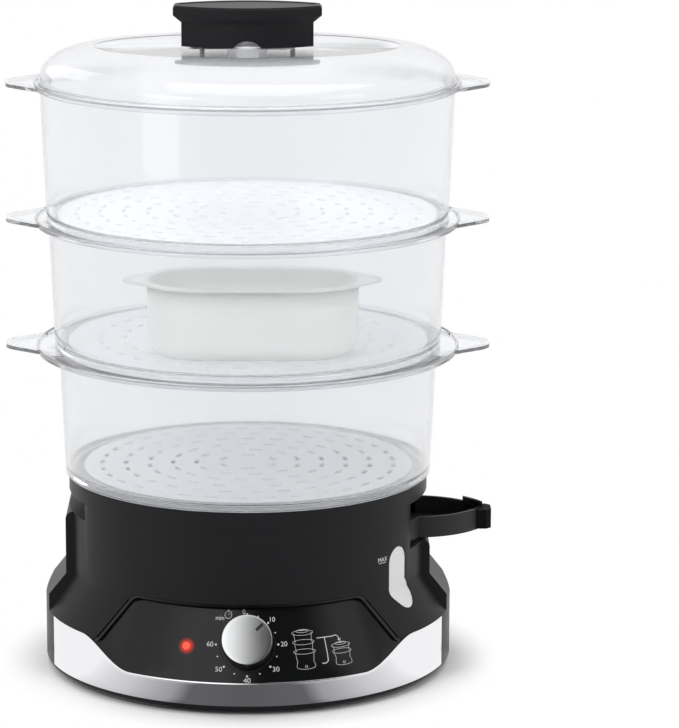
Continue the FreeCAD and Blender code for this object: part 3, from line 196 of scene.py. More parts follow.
# card ahead of the base, dark in the middle and white at its sides, which shades the chrome band
def buildFlag():
    near, far = studio["flagReach"]
    bm = bmesh.new()
    bmesh.ops.create_grid(bm, x_segments=2, y_segments=2, size=0.5)
    bmesh.ops.scale(bm, verts=bm.verts, vec=(studio["flagHalf"] * 2, far - near, 1))
    bmesh.ops.translate(bm, verts=bm.verts, vec=(0, -(near + far) / 2, studio["flagLift"]))
    flag = meshObject("studioFlag", bm)
    material, tree = newMaterial("studioFlagCloth")
    spot = addNode(tree, "ShaderNodeTexCoord").outputs["Object"]
    axes = addNode(tree, "ShaderNodeSeparateXYZ", links={0: spot})
    spread = addNode(tree, "ShaderNodeMath", {"operation": "DIVIDE"},
                     {0: axes.outputs["X"], 1: axes.outputs["Y"]})
    side = addNode(tree, "ShaderNodeMath", {"operation": "ABSOLUTE"}, {0: spread.outputs[0]})
    half = addNode(tree, "ShaderNodeMath", {"operation": "MULTIPLY", 1: 0.5}, {0: side.outputs[0]})
    tones = addNode(tree, "ShaderNodeValToRGB", links={0: half.outputs[0]})
    ramp = tones.color_ramp.elements
    for k, (share, tone) in enumerate(studio["flagTones"]):
        stop = ramp[k] if k < 2 else ramp.new(share)
        stop.position, stop.color = share, toLinear(tone)
    card = addNode(tree, "ShaderNodeEmission", {"Strength": 1.0}, {"Color": tones.outputs["Color"]})
    flag.data.materials.append(surfaced(material, card))
    flag.visible_camera = flag.visible_diffuse = False
    flag.visible_shadow = flag.visible_transmission = False


def buildLamps():
    for name, place, aim, width, height, watts in studio["lamps"]:
        data = bpy.data.lights.new(name, "AREA")
        data.shape = "RECTANGLE"
        data.size, data.size_y, data.energy = width, height, watts
        lamp = newObject(name, data)
        lamp.location = place
        lamp.visible_glossy = False
        lamp.rotation_euler = (Vector(aim) - Vector(place)).to_track_quat("-Z", "Y").to_euler()


# smooth faces, with the edges sharper than the angle left crisp
def shadeByAngle(bm, sharpAngle):
    for face in bm.faces:
        face.smooth = True
    for edge in bm.edges:
        edge.smooth = edge.calc_face_angle(0) < math.radians(sharpAngle)


def meshObject(name, bm, sharpAngle=32):
    shadeByAngle(bm, sharpAngle)
    mesh = bpy.data.meshes.new(name)
    bm.to_mesh(mesh)
    bm.free()
    return newObject(name, mesh)


# wire through points in the XZ plane, rounded at the corners that radii names
def wireProfile(bm, points, radii, closed):
    verts = [bm.verts.new((x * mm, 0, z * mm)) for x, z in points]
    pairs = list(zip(verts, verts[1:])) + ([(verts[-1], verts[0])] if closed else [])
    for a, b in pairs:
        bm.edges.new((a, b))
    for index, radius in (radii or {}).items():
        bmesh.ops.bevel(bm, geom=[verts[index]], offset=radius * mm, offset_type="OFFSET",
                        affect="VERTICES", segments=4, profile=0.5, material=-1)


def turnedPiece(name, points, radii=None, steps=192, closed=True):
    bm = bmesh.new()
    wireProfile(bm, points, radii, closed)
    bmesh.ops.spin(bm, geom=bm.verts[:] + bm.edges[:], cent=(0, 0, 0), axis=(0, 0, 1),
                   angle=2 * math.pi, steps=steps, use_merge=True)
    bmesh.ops.remove_doubles(bm, verts=bm.verts, dist=1e-7)
    bmesh.ops.recalc_face_normals(bm, faces=bm.faces)
    return meshObject(name, bm)


def applyBoolean(piece, tool, operation):
    modifier = piece.modifiers.new(operation, "BOOLEAN")
    modifier.operation = operation
    modifier.object = tool
    modifier.solver = "EXACT"
    graph = bpy.context.evaluated_depsgraph_get()
    baked = bpy.data.meshes.new_from_object(piece.evaluated_get(graph))
    piece.modifiers.clear()
    old = piece.data
    piece.data = baked
    bpy.data.meshes.remove(old)
    bpy.data.objects.remove(tool)


# merges loose or doubled corners, drops slivers and shades the mesh again
def smoothByAngle(piece, sharpAngle=32):
    bm = bmesh.new()
    bm.from_mesh(piece.data)
    bmesh.ops.remove_doubles(bm, verts=bm.verts, dist=2e-6)
    bmesh.ops.dissolve_degenerate(bm, edges=bm.edges, dist=1e-6)
    shadeByAngle(bm, sharpAngle)
    bm.to_mesh(piece.data)
    bm.free()


def dress(piece, material, body, slotName, *replaced):
    piece.data.materials.clear()
    piece.data.materials.append(material)
    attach(piece, body)
    if replaced:
        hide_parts(*replaced)
    return piece


# a smooth-shaded copy of a CAD node, which then stands for it
def dressedCopy(node, name, material, body, slotName):
    piece = newObject(name, cadNodes[node].data.copy())
    smoothByAngle(piece)
    return dress(piece, material, body, slotName, node)


finishes = {
    "bodyBlack": "#202022", "trimBlack": "#202022", "panelBlack": "#121314", "knobBlack": "#141415",
    # the grip colour is painted shade: darker than the trim, where the finger grip lies in shadow
    "gripPaintedShade": "#0c0c0d", "chrome": "#f0f0f2", "aluminium": "#d8d9da", "steel": "#b9babb",
    "clear": "#f5f6f8", "floorHaze": "#fbfbfd", "milk": "#f8f9f6", "pane": "#ecedee",
    "trayGrey": "#c3c5c8", "ink": "#dcdcdc", "lampGlow": "#ff3b1f", "rubber": "#1c1c1d",
    "silicone": "#8f3526", "bakelite": "#4a3022", "ceramic": "#cfccc2", "brownJacket": "#5a3520",
    "blueJacket": "#25499a",
}
moulding = {
    "grainDepth": 0.04, "grainStrength": 0.25,
    "handled": 35,  # mm across a patch that hands have made shinier or duller
    "shinier": 0.04, "duller": 0.06, "lighter": 1.18,
}
acrylic = {
    "ripple": 60, "rippleDepth": 0.4, "rippleStrength": 0.12, "smears": 9, "shine": (0.05, 0.14),
    "gloss": 0.3, "glowReach": (1.8, 6), "glow": 0.55,
}
metal = {"haze": 6, "least": 0.02, "grainDepth": 0.02, "grainStrength": 0.15}
spinning = {"ring": 0.25, "depth": 0.01, "strength": 0.1, "waver": 0.4, "roughness": 0.22, "drag": 0.3}
clearing = {"peel": 5, "peelDepth": 0.05, "peelStrength": 0.06, "passed": 0.97}
printing = {"speckle": 0.5, "roughness": (0.45, 0.6)}


# injection-moulded ABS: satin, with a spark-eroded grain of about 0.4 mm that breaks up the highlights;
# rubber, phenolic and cable jackets are moulded alike and differ in colour, roughness and grain
def mouldedPlastic(name, colour, roughness, grain=0.4, gloss=0.5):
    material, tree = newMaterial(name)
    spot = addNode(tree, "ShaderNodeTexCoord").outputs["Object"]
    grainNoise = addNode(tree, "ShaderNodeTexNoise", {
        "Scale": 1 / (grain * mm), "Detail": 3.0, "Roughness": 0.6}, {"Vector": spot})
    handling = addNode(tree, "ShaderNodeTexNoise", {
        "Scale": 1 / (moulding["handled"] * mm), "Detail": 2.0}, {"Vector": spot})
    shine = addNode(tree, "ShaderNodeMapRange", {
        "To Min": roughness - moulding["shinier"], "To Max": roughness + moulding["duller"]},
        {"Value": handling.outputs["Fac"]})
    bump = addNode(tree, "ShaderNodeBump", {
        "Strength": moulding["grainStrength"], "Distance": moulding["grainDepth"] * mm},
        {"Height": grainNoise.outputs["Fac"]})
    lighter = tuple(c * moulding["lighter"] for c in toLinear(colour)[:3]) + (1,)
    tint = addNode(tree, "ShaderNodeMix", {"data_type": "RGBA", 6: toLinear(colour), 7: lighter},
                   {0: handling.outputs["Fac"]})
    shader = addNode(tree, "ShaderNodeBsdfPrincipled", {"IOR": 1.53, "Specular IOR Level": gloss}, {
        "Base Color": tint.outputs[2], "Roughness": shine.outputs[0], "Normal": bump.outputs[0]})
    return surfaced(material, shader)


# acrylic front, flow-polished: black under a clear skin, with a slow ripple of about 60 mm in its
# reflections and a red glow where the lamp shines into it
def glossAcrylic(name, colour):
    material, tree = newMaterial(name)
    spot = addNode(tree, "ShaderNodeTexCoord").outputs["Object"]
    away = addNode(tree, "ShaderNodeVectorMath", {"operation": "DISTANCE", 1: panelLamp()}, {0: spot})
    near, far = acrylic["glowReach"]
    glow = addNode(tree, "ShaderNodeMapRange", {
        "interpolation_type": "SMOOTHERSTEP", "From Min": near * mm, "From Max": far * mm,
        "To Min": acrylic["glow"], "To Max": 0.0}, {"Value": away.outputs["Value"]})
    ripple = addNode(tree, "ShaderNodeTexNoise", {
        "Scale": 1 / (acrylic["ripple"] * mm), "Detail": 0.0}, {"Vector": spot})
    smears = addNode(tree, "ShaderNodeTexNoise", {
        "Scale": 1 / (acrylic["smears"] * mm), "Detail": 4.0}, {"Vector": spot})
    clean, smeared = acrylic["shine"]
    shine = addNode(tree, "ShaderNodeMapRange", {"To Min": clean, "To Max": smeared},
                    {"Value": smears.outputs["Fac"]})
    bump = addNode(tree, "ShaderNodeBump", {
        "Strength": acrylic["rippleStrength"], "Distance": acrylic["rippleDepth"] * mm},
        {"Height": ripple.outputs["Fac"]})
    shader = addNode(tree, "ShaderNodeBsdfPrincipled", {
        "Base Color": toLinear(colour), "IOR": 1.49, "Specular IOR Level": acrylic["gloss"],
        "Emission Color": toLinear(finishes["lampGlow"])}, {
        "Roughness": shine.outputs[0], "Normal": bump.outputs[0],
        "Emission Strength": glow.outputs["Result"]})
    return surfaced(material, shader)


# metal: chromium plate on ABS, cast aluminium or stamped steel, told apart by roughness and by the
# size of the grain, which plate doesn't have
def metalFinish(name, colour, roughness, grain=0.0, spread=0.04):
    material, tree = newMaterial(name)
    spot = addNode(tree, "ShaderNodeTexCoord").outputs["Object"]
    haze = addNode(tree, "ShaderNodeTexNoise", {
        "Scale": 1 / ((grain or metal["haze"]) * mm), "Detail": 3.0}, {"Vector": spot})
    shine = addNode(tree, "ShaderNodeMapRange", {
        "To Min": max(roughness - spread, metal["least"]), "To Max": roughness + spread},
        {"Value": haze.outputs["Fac"]})
    shader = addNode(tree, "ShaderNodeBsdfPrincipled", {"Base Color": toLinear(colour), "Metallic": 1.0},
                     {"Roughness": shine.outputs[0]})
    if grain:
        bump = addNode(tree, "ShaderNodeBump", {
            "Strength": metal["grainStrength"], "Distance": metal["grainDepth"] * mm},
            {"Height": haze.outputs["Fac"]})
        tree.links.new(bump.outputs[0], shader.inputs["Normal"])
    return surfaced(material, shader)


# turned end face of spun aluminium: fine rings 0.25 mm apart about the knob's axis
def spunAluminium(name, colour, centre, axis):
    material, tree = newMaterial(name)
    spot = addNode(tree, "ShaderNodeTexCoord").outputs["Object"]
    turn = axis.to_track_quat("Z", "Y").to_euler()
    local = addNode(tree, "ShaderNodeMapping", {
        "vector_type": "TEXTURE", "Location": centre, "Rotation": turn}, {"Vector": spot})
    rings = addNode(tree, "ShaderNodeTexWave", {  # a wave repeats 20 times per unit of its scale
        "wave_type": "RINGS", "rings_direction": "Z", "Scale": 1 / (spinning["ring"] * mm) / 20,
        "Distortion": spinning["waver"]}, {"Vector": local.outputs[0]})
    bump = addNode(tree, "ShaderNodeBump", {
        "Strength": spinning["strength"], "Distance": spinning["depth"] * mm},
        {"Height": rings.outputs["Fac"]})
    shader = addNode(tree, "ShaderNodeBsdfPrincipled", {
        "Base Color": toLinear(colour), "Metallic": 1.0, "Roughness": spinning["roughness"],
        "Anisotropic": spinning["drag"]}, {"Normal": bump.outputs[0]})
    return surfaced(material, shader)


# clear moulded plastic: mostly see-through, with a milky share that lights up and a faint orange-peel;
# lamplight passes it, so that what stands inside is lit, and hazy parts give back the light in them
def clearPlastic(name, colour, seeThrough, roughness, scattered=0.0):
    material, tree = newMaterial(name)
    spot = addNode(tree, "ShaderNodeTexCoord").outputs["Object"]
    peel = addNode(tree, "ShaderNodeTexNoise", {
        "Scale": 1 / (clearing["peel"] * mm), "Detail": 1.0}, {"Vector": spot})
    bump = addNode(tree, "ShaderNodeBump", {
        "Strength": clearing["peelStrength"], "Distance": clearing["peelDepth"] * mm},
        {"Height": peel.outputs["Fac"]})
    shine = addNode(tree, "ShaderNodeMapRange", {"To Min": roughness * 0.7, "To Max": roughness * 1.3},
                    {"Value": peel.outputs["Fac"]})
    shader = addNode(tree, "ShaderNodeBsdfPrincipled", {
        "Base Color": toLinear(colour), "IOR": 1.49, "Transmission Weight": seeThrough,
        "Emission Color": toLinear(colour), "Emission Strength": scattered},
        {"Roughness": shine.outputs[0], "Normal": bump.outputs[0]})
    path = addNode(tree, "ShaderNodeLightPath")
    lamplight = addNode(tree, "ShaderNodeMath", {"operation": "MULTIPLY", 1: seeThrough},
                        {0: path.outputs["Is Shadow Ray"]})
    passed = clearing["passed"]
    through = addNode(tree, "ShaderNodeBsdfTransparent", {"Color": (passed, passed, passed, 1)})
    mix = addNode(tree, "ShaderNodeMixShader",
                  links={0: lamplight.outputs[0], 1: shader.outputs[0], 2: through.outputs[0]})
    return surfaced(material, mix)


# pad-printed ink: dense and matt
def printInk(name, colour):
    material, tree = newMaterial(name)
    spot = addNode(tree, "ShaderNodeTexCoord").outputs["Object"]
    speckle = addNode(tree, "ShaderNodeTexNoise", {
        "Scale": 1 / (printing["speckle"] * mm), "Detail": 2.0}, {"Vector": spot})
    least, most = printing["roughness"]
    shine = addNode(tree, "ShaderNodeMapRange", {"To Min": least, "To Max": most},
                    {"Value": speckle.outputs["Fac"]})
    shader = addNode(tree, "ShaderNodeBsdfPrincipled", {"Base Color": toLinear(colour)},
                     {"Roughness": shine.outputs[0]})
    return surfaced(material, shader)


# lit lens: tinted polycarbonate with the bulb behind it
def litLens(name, colour):
    material, tree = newMaterial(name)
    shader = addNode(tree, "ShaderNodeBsdfPrincipled", {
        "Base Color": toLinear(colour), "Roughness": 0.2, "Emission Color": toLinear(colour),
        "Emission Strength": 0.9, "IOR": 1.58})
    return surfaced(material, shader)


# middle of the lamp's lens on the panel
def panelLamp():
    corners = [Vector(corner) for corner in cadNodes["indicator_lens"].bound_box]
    return tuple(sum(corners, Vector()) / len(corners))


def buildFinishes():
    c = finishes
    return {
        "body": mouldedPlastic("absBodyMoulded", c["bodyBlack"], 0.38, gloss=0.09),
        "trim": mouldedPlastic("absTrimMoulded", c["trimBlack"], 0.5, 0.6, gloss=0.3),
        "knob": mouldedPlastic("absKnobMoulded", c["knobBlack"], 0.35),
        # finger grip: a darker colour than the trim as painted shade, with an eroded grain and a duller
        # finish
        "grip": mouldedPlastic("absGripErodedPaintedShade", c["gripPaintedShade"], 0.65, 0.6, gloss=0.08),
        "panel": glossAcrylic("acrylicPanel", c["panelBlack"]),
        "chrome": metalFinish("chromePlate", c["chrome"], 0.06, 0.0, 0.02),
        "steel": metalFinish("stampedSteel", c["steel"], 0.32, 1.2),
        "aluminium": metalFinish("castAluminium", c["aluminium"], 0.4, 0.9),
        "clear": clearPlastic("sanClearMoulded", c["clear"], 0.94, 0.05),
        "haze": clearPlastic("sanClearFloor", c["floorHaze"], 0.5, 0.35, 0.045),
        "milk": clearPlastic("polypropyleneMilky", c["milk"], 0.35, 0.4, 0.06),
        "pane": clearPlastic("polycarbonateFrosted", c["pane"], 0.15, 0.35),
        "ink": printInk("padPrintInk", c["ink"]),
        "lens": litLens("polycarbonateLit", c["lampGlow"]),
        "rubber": mouldedPlastic("nitrileRubber", c["rubber"], 0.7, 0.8),
        "silicone": mouldedPlastic("siliconeRubber", c["silicone"], 0.55, 0.7),
        "bakelite": mouldedPlastic("phenolicMoulded", c["bakelite"], 0.4, 0.5),
        "ceramic": mouldedPlastic("nylonTerminal", c["ceramic"], 0.5, 0.5),
        "brownJacket": mouldedPlastic("pvcBrown", c["brownJacket"], 0.4, 0.5),
        "blueJacket": mouldedPlastic("pvcBlue", c["blueJacket"], 0.4, 0.5),
        "tray": mouldedPlastic("polypropyleneTray", c["trayGrey"], 0.4, 0.8),
    }


band = {
    "radius": 125.0, "wall": 0.76, "low": 5.75, "high": 36.4, "frontHigh": 20.1,
    "half": 71.0, "swoopStart": 34.0, "swoopEnd": 52.5,  # degrees from the front
    "columns": 142, "rows": 6, "rim": 0.25,
}


def bandTop(angle):
    swoop = (abs(angle) - band["swoopStart"]) / (band["swoopEnd"] - band["swoopStart"])
    share = min(max(swoop, 0), 1)
    return band["frontHigh"] + (band["high"] - band["frontHigh"]) * share ** 2 * (3 - 2 * share)


def buildBand(finish):
    bm = bmesh.new()
    bmesh.ops.create_grid(bm, x_segments=band["columns"], y_segments=band["rows"], size=1)
    for vert in bm.verts:  # the flat grid is rolled round the base and its top edge follows the swoop
        angle = vert.co.x * band["half"]
        height = band["low"] + (bandTop(angle) - band["low"]) * (vert.co.y + 1) / 2
        turn = math.radians(angle)
        vert.co = Vector((math.sin(turn) * band["radius"], -math.cos(turn) * band["radius"], height)) * mm
    bmesh.ops.recalc_face_normals(bm, faces=bm.faces)
    first = bm.faces[:][0]
    if first.normal.dot(first.calc_center_median()) < 0:
        bmesh.ops.reverse_faces(bm, faces=bm.faces)
    piece = meshObject("bandPlate", bm)
    wall = piece.modifiers.new("wall", "SOLIDIFY")
    wall.thickness, wall.offset = band["wall"] * mm, -1
    rim = piece.modifiers.new("rim", "BEVEL")
    rim.width, rim.segments, rim.limit_method = band["rim"] * mm, 2, "ANGLE"
    dress(piece, finish["chrome"], "base", "band_chrome", "chrome_band")


panel = {
    "slope": 25.5, "bandRadius": 124.2, "bandTop": 20.2, "dialHeight": 41.0, "inkLift": 0.05,
    "dotRadius": 18.4, "bigDot": 0.66, "smallDot": 0.44, "dots": 13, "stepAngle": 22.5, "drop": 0.8,
    "numbers": [(-2.0, 19.6), (15.5, 14.9), (21.8, 0), (16.1, -14.7), (0, -21.1), (-15.9, -14.7),
                (-21.9, 0)],
    "numberHeight": 3.0, "ringRadius": 16.4, "ringWidth": 0.5, "lineWidth": 0.22,
    "minutes": (-17.0, 15.0), "minuteHeight": 2.8,
    "clock": (-11.8, 17.0), "clockRadius": 2.1, "clockWidth": 0.4,
    "clockStrokes": [  # from the clock's middle: hand, stem, button and side button, each with its width
        ([(0, 0), (0.9, 1.0)], 0.36),
        ([(0, 2.0), (0, 2.8)], 0.45),
        ([(-0.6, 2.9), (0.6, 2.9)], 0.45),
        ([(1.5, 1.6), (2.0, 2.1)], 0.4),
    ],
    "icons": [(33.6, -5.2, 14.0, 3, 5.6), (56.6, -10.1, 13.0, 2, 3.6)],  # middle, width, bowls, height
    "arrow": [  # over from the full stack to the nested one, its head, and the branch below
        [(42.0, 1.2), (51.3, 1.2), (54.6, 1.6), (55.9, 0.6), (56.4, -1.4)],
        [(55.4, -0.9), (56.5, -2.0), (57.3, -0.7)],
        [(47.0, 1.2), (47.2, -8.5), (47.0, -12.8), (45.6, -14.1), (43.0, -14.1)],
    ],
    "arrowWidth": 0.5,
}
icon = {  # widths are shares of the drawing's half width, heights are in mm
    "squash": 0.22, "margin": 5.2, "baseSide": [(0.78, 1.2), (0.74, 3), (0.66, 4.6)],
    "lamp": (1.3, 0.7), "bowlLow": 0.7, "bowlHigh": 0.8, "bowlRim": 0.95,
    "lidRise": 5.6, "lidWide": 0.55, "knobRise": 6.2, "knobWide": 0.24, "knobHigh": 0.35,
}


# place on the panel's slanting face: u to the right, v up the slope, n outwards, all in mm
def ontoPanel(u, v, n=0.0):
    tilt = math.radians(panel["slope"])
    atDial = panel["bandRadius"] - math.tan(tilt) * (panel["dialHeight"] - panel["bandTop"])
    turn = u / atDial
    radius = atDial - v * math.sin(tilt) + n * math.cos(tilt)
    height = panel["dialHeight"] + v * math.cos(tilt) + n * math.sin(tilt)
    return Vector((radius * math.sin(turn), -radius * math.cos(turn), height)) * mm


def addInk(bm, curve, shift=(0, 0)):
    holder = newObject("inkSource", curve)
    mesh = bpy.data.meshes.new_from_object(holder)
    mesh.transform(Matrix.Translation((shift[0], shift[1], 0)))
    bm.from_mesh(mesh)
    bpy.data.objects.remove(holder)
    bpy.data.curves.remove(curve)
    bpy.data.meshes.remove(mesh)


# thin printed line: a tube sunk halfway into the panel, so only its top shows
def inkLine(bm, points, closed=False, width=None):
    curve = bpy.data.curves.new("inkLine", "CURVE")
    curve.dimensions = "3D"
    curve.bevel_depth = (width or panel["lineWidth"]) / 2
    curve.bevel_resolution = 1
    spline = curve.splines.new("POLY")
    spline.points.add(len(points) - 1)
    for point, (u, v) in zip(spline.points, points):
        point.co = (u, v, 0, 1)
    spline.use_cyclic_u = closed
    addInk(bm, curve)


def inkText(bm, words, u, v, height):
    text = bpy.data.curves.new("inkText", "FONT")
    text.body = words
    text.size = height * 1.38  # a figure stands 1 / 1.38 of its font's size
    text.align_x, text.align_y = "CENTER", "CENTER"
    addInk(bm, text, (u, v))


def circlePoints(u, v, across, up=None, count=32, start=0, end=360):
    up = across if up is None else up
    total = count + (end - start < 360)  # an open arc ends on a point of its own
    angles = [math.radians(start + (end - start) * k / count) for k in range(total)]
    return [(u + across * math.cos(a), v + up * math.sin(a)) for a in angles]


# small line drawing of a stack of bowls on a base
def inkStack(bm, u, v, width, bowlCount, bowlHeight):
    half, flat = width / 2, icon["squash"]
    low = v - (bowlCount * bowlHeight + icon["margin"]) / 2
    foot, shoulder = icon["baseSide"][0], icon["baseSide"][-1]
    inkLine(bm, circlePoints(u, low + foot[1], half * foot[0], half * flat, 16, 180, 360))
    for side in (-1, 1):
        inkLine(bm, [(u + side * half * wide, low + high) for wide, high in icon["baseSide"]])
    inkLine(bm, circlePoints(u, low + icon["lamp"][0], icon["lamp"][1], count=12), True)
    for k in range(bowlCount):
        seat = low + shoulder[1] + k * bowlHeight
        inkLine(bm, circlePoints(u, seat + bowlHeight, half * icon["bowlRim"], half * flat, 24), True)
        for side in (-1, 1):
            inkLine(bm, [(u + side * half * icon["bowlLow"], seat),
                         (u + side * half * icon["bowlHigh"], seat + bowlHeight)])
    lidHeight = low + icon["lidRise"] + bowlCount * bowlHeight
    inkLine(bm, circlePoints(u, lidHeight, half * icon["lidWide"], half * flat * 0.6, 20), True)
    knobHeight = low + icon["knobRise"] + bowlCount * bowlHeight
    inkLine(bm, circlePoints(u, knobHeight, half * icon["knobWide"], icon["knobHigh"], 12), True)


def buildPanelPrint(finish):
    bm = bmesh.new()
    for k in range(panel["dots"]):
        turn = math.radians(k * panel["stepAngle"])
        dot = panel["bigDot"] if k % 2 == 0 else panel["smallDot"]
        across, up = math.sin(turn), math.cos(turn)
        place = Vector((across * panel["dotRadius"], up * panel["dotRadius"] - panel["drop"], 0))
        bmesh.ops.create_circle(bm, cap_ends=True, segments=20, radius=dot,
                                matrix=Matrix.Translation(place))
    for k, (u, v) in enumerate(panel["numbers"]):
        inkText(bm, str(k * 10), u, v - panel["drop"], panel["numberHeight"])
    inkText(bm, "min", *panel["minutes"], panel["minuteHeight"])
    u, v = panel["clock"]
    inkLine(bm, circlePoints(u, v, panel["clockRadius"]), True, panel["clockWidth"])
    for stroke, width in panel["clockStrokes"]:
        inkLine(bm, [(u + x, v + y) for x, y in stroke], width=width)
    for facts in panel["icons"]:
        inkStack(bm, *facts)
    for stroke in panel["arrow"]:
        inkLine(bm, stroke, width=panel["arrowWidth"])
    for vert in bm.verts:
        vert.co = ontoPanel(vert.co.x, vert.co.y, vert.co.z + panel["inkLift"])
    bmesh.ops.recalc_face_normals(bm, faces=bm.faces)
    outwards = Vector((0, -0.9, 0.43))
    for face in bm.faces:  # flat dots and figures may have come out facing the panel
        if face.normal.dot(outwards) < -0.2 and len(face.verts) > 4:
            face.normal_flip()
    dress(meshObject("panelPrint", bm), finish["ink"], "base", "panel_gloss")

    bm = bmesh.new()
    inkLine(bm, circlePoints(0, 0, panel["ringRadius"], count=72), True, panel["ringWidth"])
    for vert in bm.verts:
        vert.co = ontoPanel(vert.co.x, vert.co.y, vert.co.z * 0.5)
    bmesh.ops.recalc_face_normals(bm, faces=bm.faces)
    dress(meshObject("dialGroove", bm), finish["trim"], "base", "panel_gloss")


window = {
    "angle": 55.3, "radius": 109.8, "markHeight": 79.6, "markGap": 15.4, "lift": 0.05,
    "letters": 2.8, "lettersUp": 1.6, "line": 6.4, "lineDown": 0.4, "lineWidth": 0.35,
}


def buildWindowMark(finish):
    w = window
    bm = bmesh.new()
    inkText(bm, "MAX", 0, w["lettersUp"], w["letters"])
    inkLine(bm, [(-w["line"] / 2, -w["lineDown"]), (w["line"] / 2, -w["lineDown"])], width=w["lineWidth"])
    turnBack = math.radians(w["angle"]) - (w["markGap"] / w["radius"])
    for vert in bm.verts:
        turn = turnBack + vert.co.x / w["radius"]
        reach = w["radius"] + w["lift"] + vert.co.z
        height = w["markHeight"] + vert.co.y
        vert.co = Vector((reach * math.sin(turn), -reach * math.cos(turn), height)) * mm
    dress(meshObject("windowMark", bm), finish["ink"], "base", "housing_plastic")


knob = {
    "radius": 15.0, "height": 16.6, "gap": 1.0, "cap": 1.4, "bore": 3.2, "skirt": 2.4, "hollow": 3,
    "draft": 0.3, "capSeat": 0.05, "crown": 0.9, "crownEdge": 0.95,
    "crownShares": (0.92, 0.8, 0.66, 0.5, 0.34, 0.17),
    "pointer": (1.7, 5.5, 1.9),  # width, length, distance from the edge
    "pointerUp": 1.2, "cutterHeight": 4, "dial": 45.0,
}


def knobPlace():
    joint = joints["timer_turn"]
    axis = Vector(joint["axis"]).normalized()
    side = Vector((1, 0, 0))
    turn = Matrix((side, axis.cross(side), axis)).transposed().to_4x4()
    return Matrix.Translation(joint["pos_m"]) @ turn, axis


def buildKnob(finish):
    place, axis = knobPlace()
    radius, gap, deck = knob["radius"], knob["gap"], knob["gap"] + knob["height"] - knob["cap"]
    inner, narrow = radius - knob["skirt"], radius - knob["draft"]
    body = turnedPiece("knobBody", [
        (knob["bore"], gap + knob["hollow"]), (inner, gap + knob["hollow"]), (inner, gap), (radius, gap),
        (narrow, deck), (knob["bore"], deck)], {3: 0.4, 4: 0.3}, 128)
    body.data.transform(place)
    dress(body, finish["knob"], "timer_dial", "knob_plastic", "timer_knob")

    top = deck + knob["cap"]
    crown = [(radius * share, top - knob["crown"] * share ** 2) for share in knob["crownShares"]]
    seat = deck + knob["capSeat"]
    cap = turnedPiece("knobFace", [(0, seat), (narrow, seat), (narrow, top - knob["crownEdge"])]
                      + crown + [(0, top)], {2: 0.2}, 160, closed=False)
    width, length, inset = knob["pointer"]
    bm = bmesh.new()
    bmesh.ops.create_cube(bm, size=1)
    bmesh.ops.scale(bm, verts=bm.verts, vec=(width * mm, length * mm, knob["cutterHeight"] * mm))
    bmesh.ops.translate(bm, verts=bm.verts, vec=(
        0, (radius - inset - length / 2) * mm, (top + knob["pointerUp"]) * mm))
    bmesh.ops.rotate(bm, verts=bm.verts, matrix=Matrix.Rotation(-math.radians(knob["dial"]), 3, "Z"))
    applyBoolean(cap, meshObject("pointerCutter", bm), "DIFFERENCE")
    smoothByAngle(cap)
    cap.data.transform(place)
    centre = Vector(joints["timer_turn"]["pos_m"])
    face = spunAluminium("aluminiumSpun", finishes["aluminium"], centre, axis)
    dress(cap, face, "timer_dial", "cap_metal", "knob_cap")
    dressedCopy("knob_pointer", "knobPointer", finish["knob"], "timer_dial", "knob_plastic")


filler = {"soften": 0.5, "sharper": 40, "gripFrom": 133.0, "gripHalf": 8.6}


def buildFiller(finish):
    piece = dressedCopy("filler_spout", "fillerSpout", finish["trim"], "filler", "trim_plastic")
    piece.data.materials.append(finish["grip"])
    gripFrom, gripHalf = filler["gripFrom"] * mm, filler["gripHalf"] * mm
    for face in piece.data.polygons:  # the finger grip at the tip is painted blacker than the tray, as painted shade, and is duller
        corners = [piece.data.vertices[k].co for k in face.vertices]
        if all(co.x > gripFrom and abs(co.y) < gripHalf for co in corners):
            face.material_index = 1
    edge = piece.modifiers.new("edge", "BEVEL")
    edge.width, edge.segments, edge.limit_method = filler["soften"] * mm, 2, "ANGLE"
    edge.angle_limit = math.radians(filler["sharper"])


bowls = {
    "wall": 2.0, "flare": 3.2, "floorRise": 1.6, "spigotDrop": 3.2, "lift": 0.3,
    "flangeRadius": 128.5, "flangeWall": 1.9, "bead": 1.4, "beadWidth": 1.8,
    "earReach": 147.0, "earTip": 15.5, "earRootHalf": 39.0, "earTouch": (0.62, 0.785),
    "earTipSteps": 14, "earRootCuts": 24, "plate": 1.1, "plateLip": 3.0, "seam": 0.05, "steps": 192,
    "rounds": {2: 0.5, 3: 0.5, 7: 0.9, 8: 0.7, 9: 0.7, 10: 0.7, 11: 0.6, 13: 0.8, 14: 2.5},
    "stack": [  # name, body, node, foot radius, seat, top of flange, spigot radius
        ("lowerBowl", "lower", "lower_bowl", 111.8, 119.4, 197.7, 102.6),
        ("middleBowl", "middle", "middle_bowl", 117.3, 197.7, 275.5, 111.6),
        ("upperBowl", "upper", "upper_bowl", 121.6, 275.5, 357.7, 117.1),
    ],
}


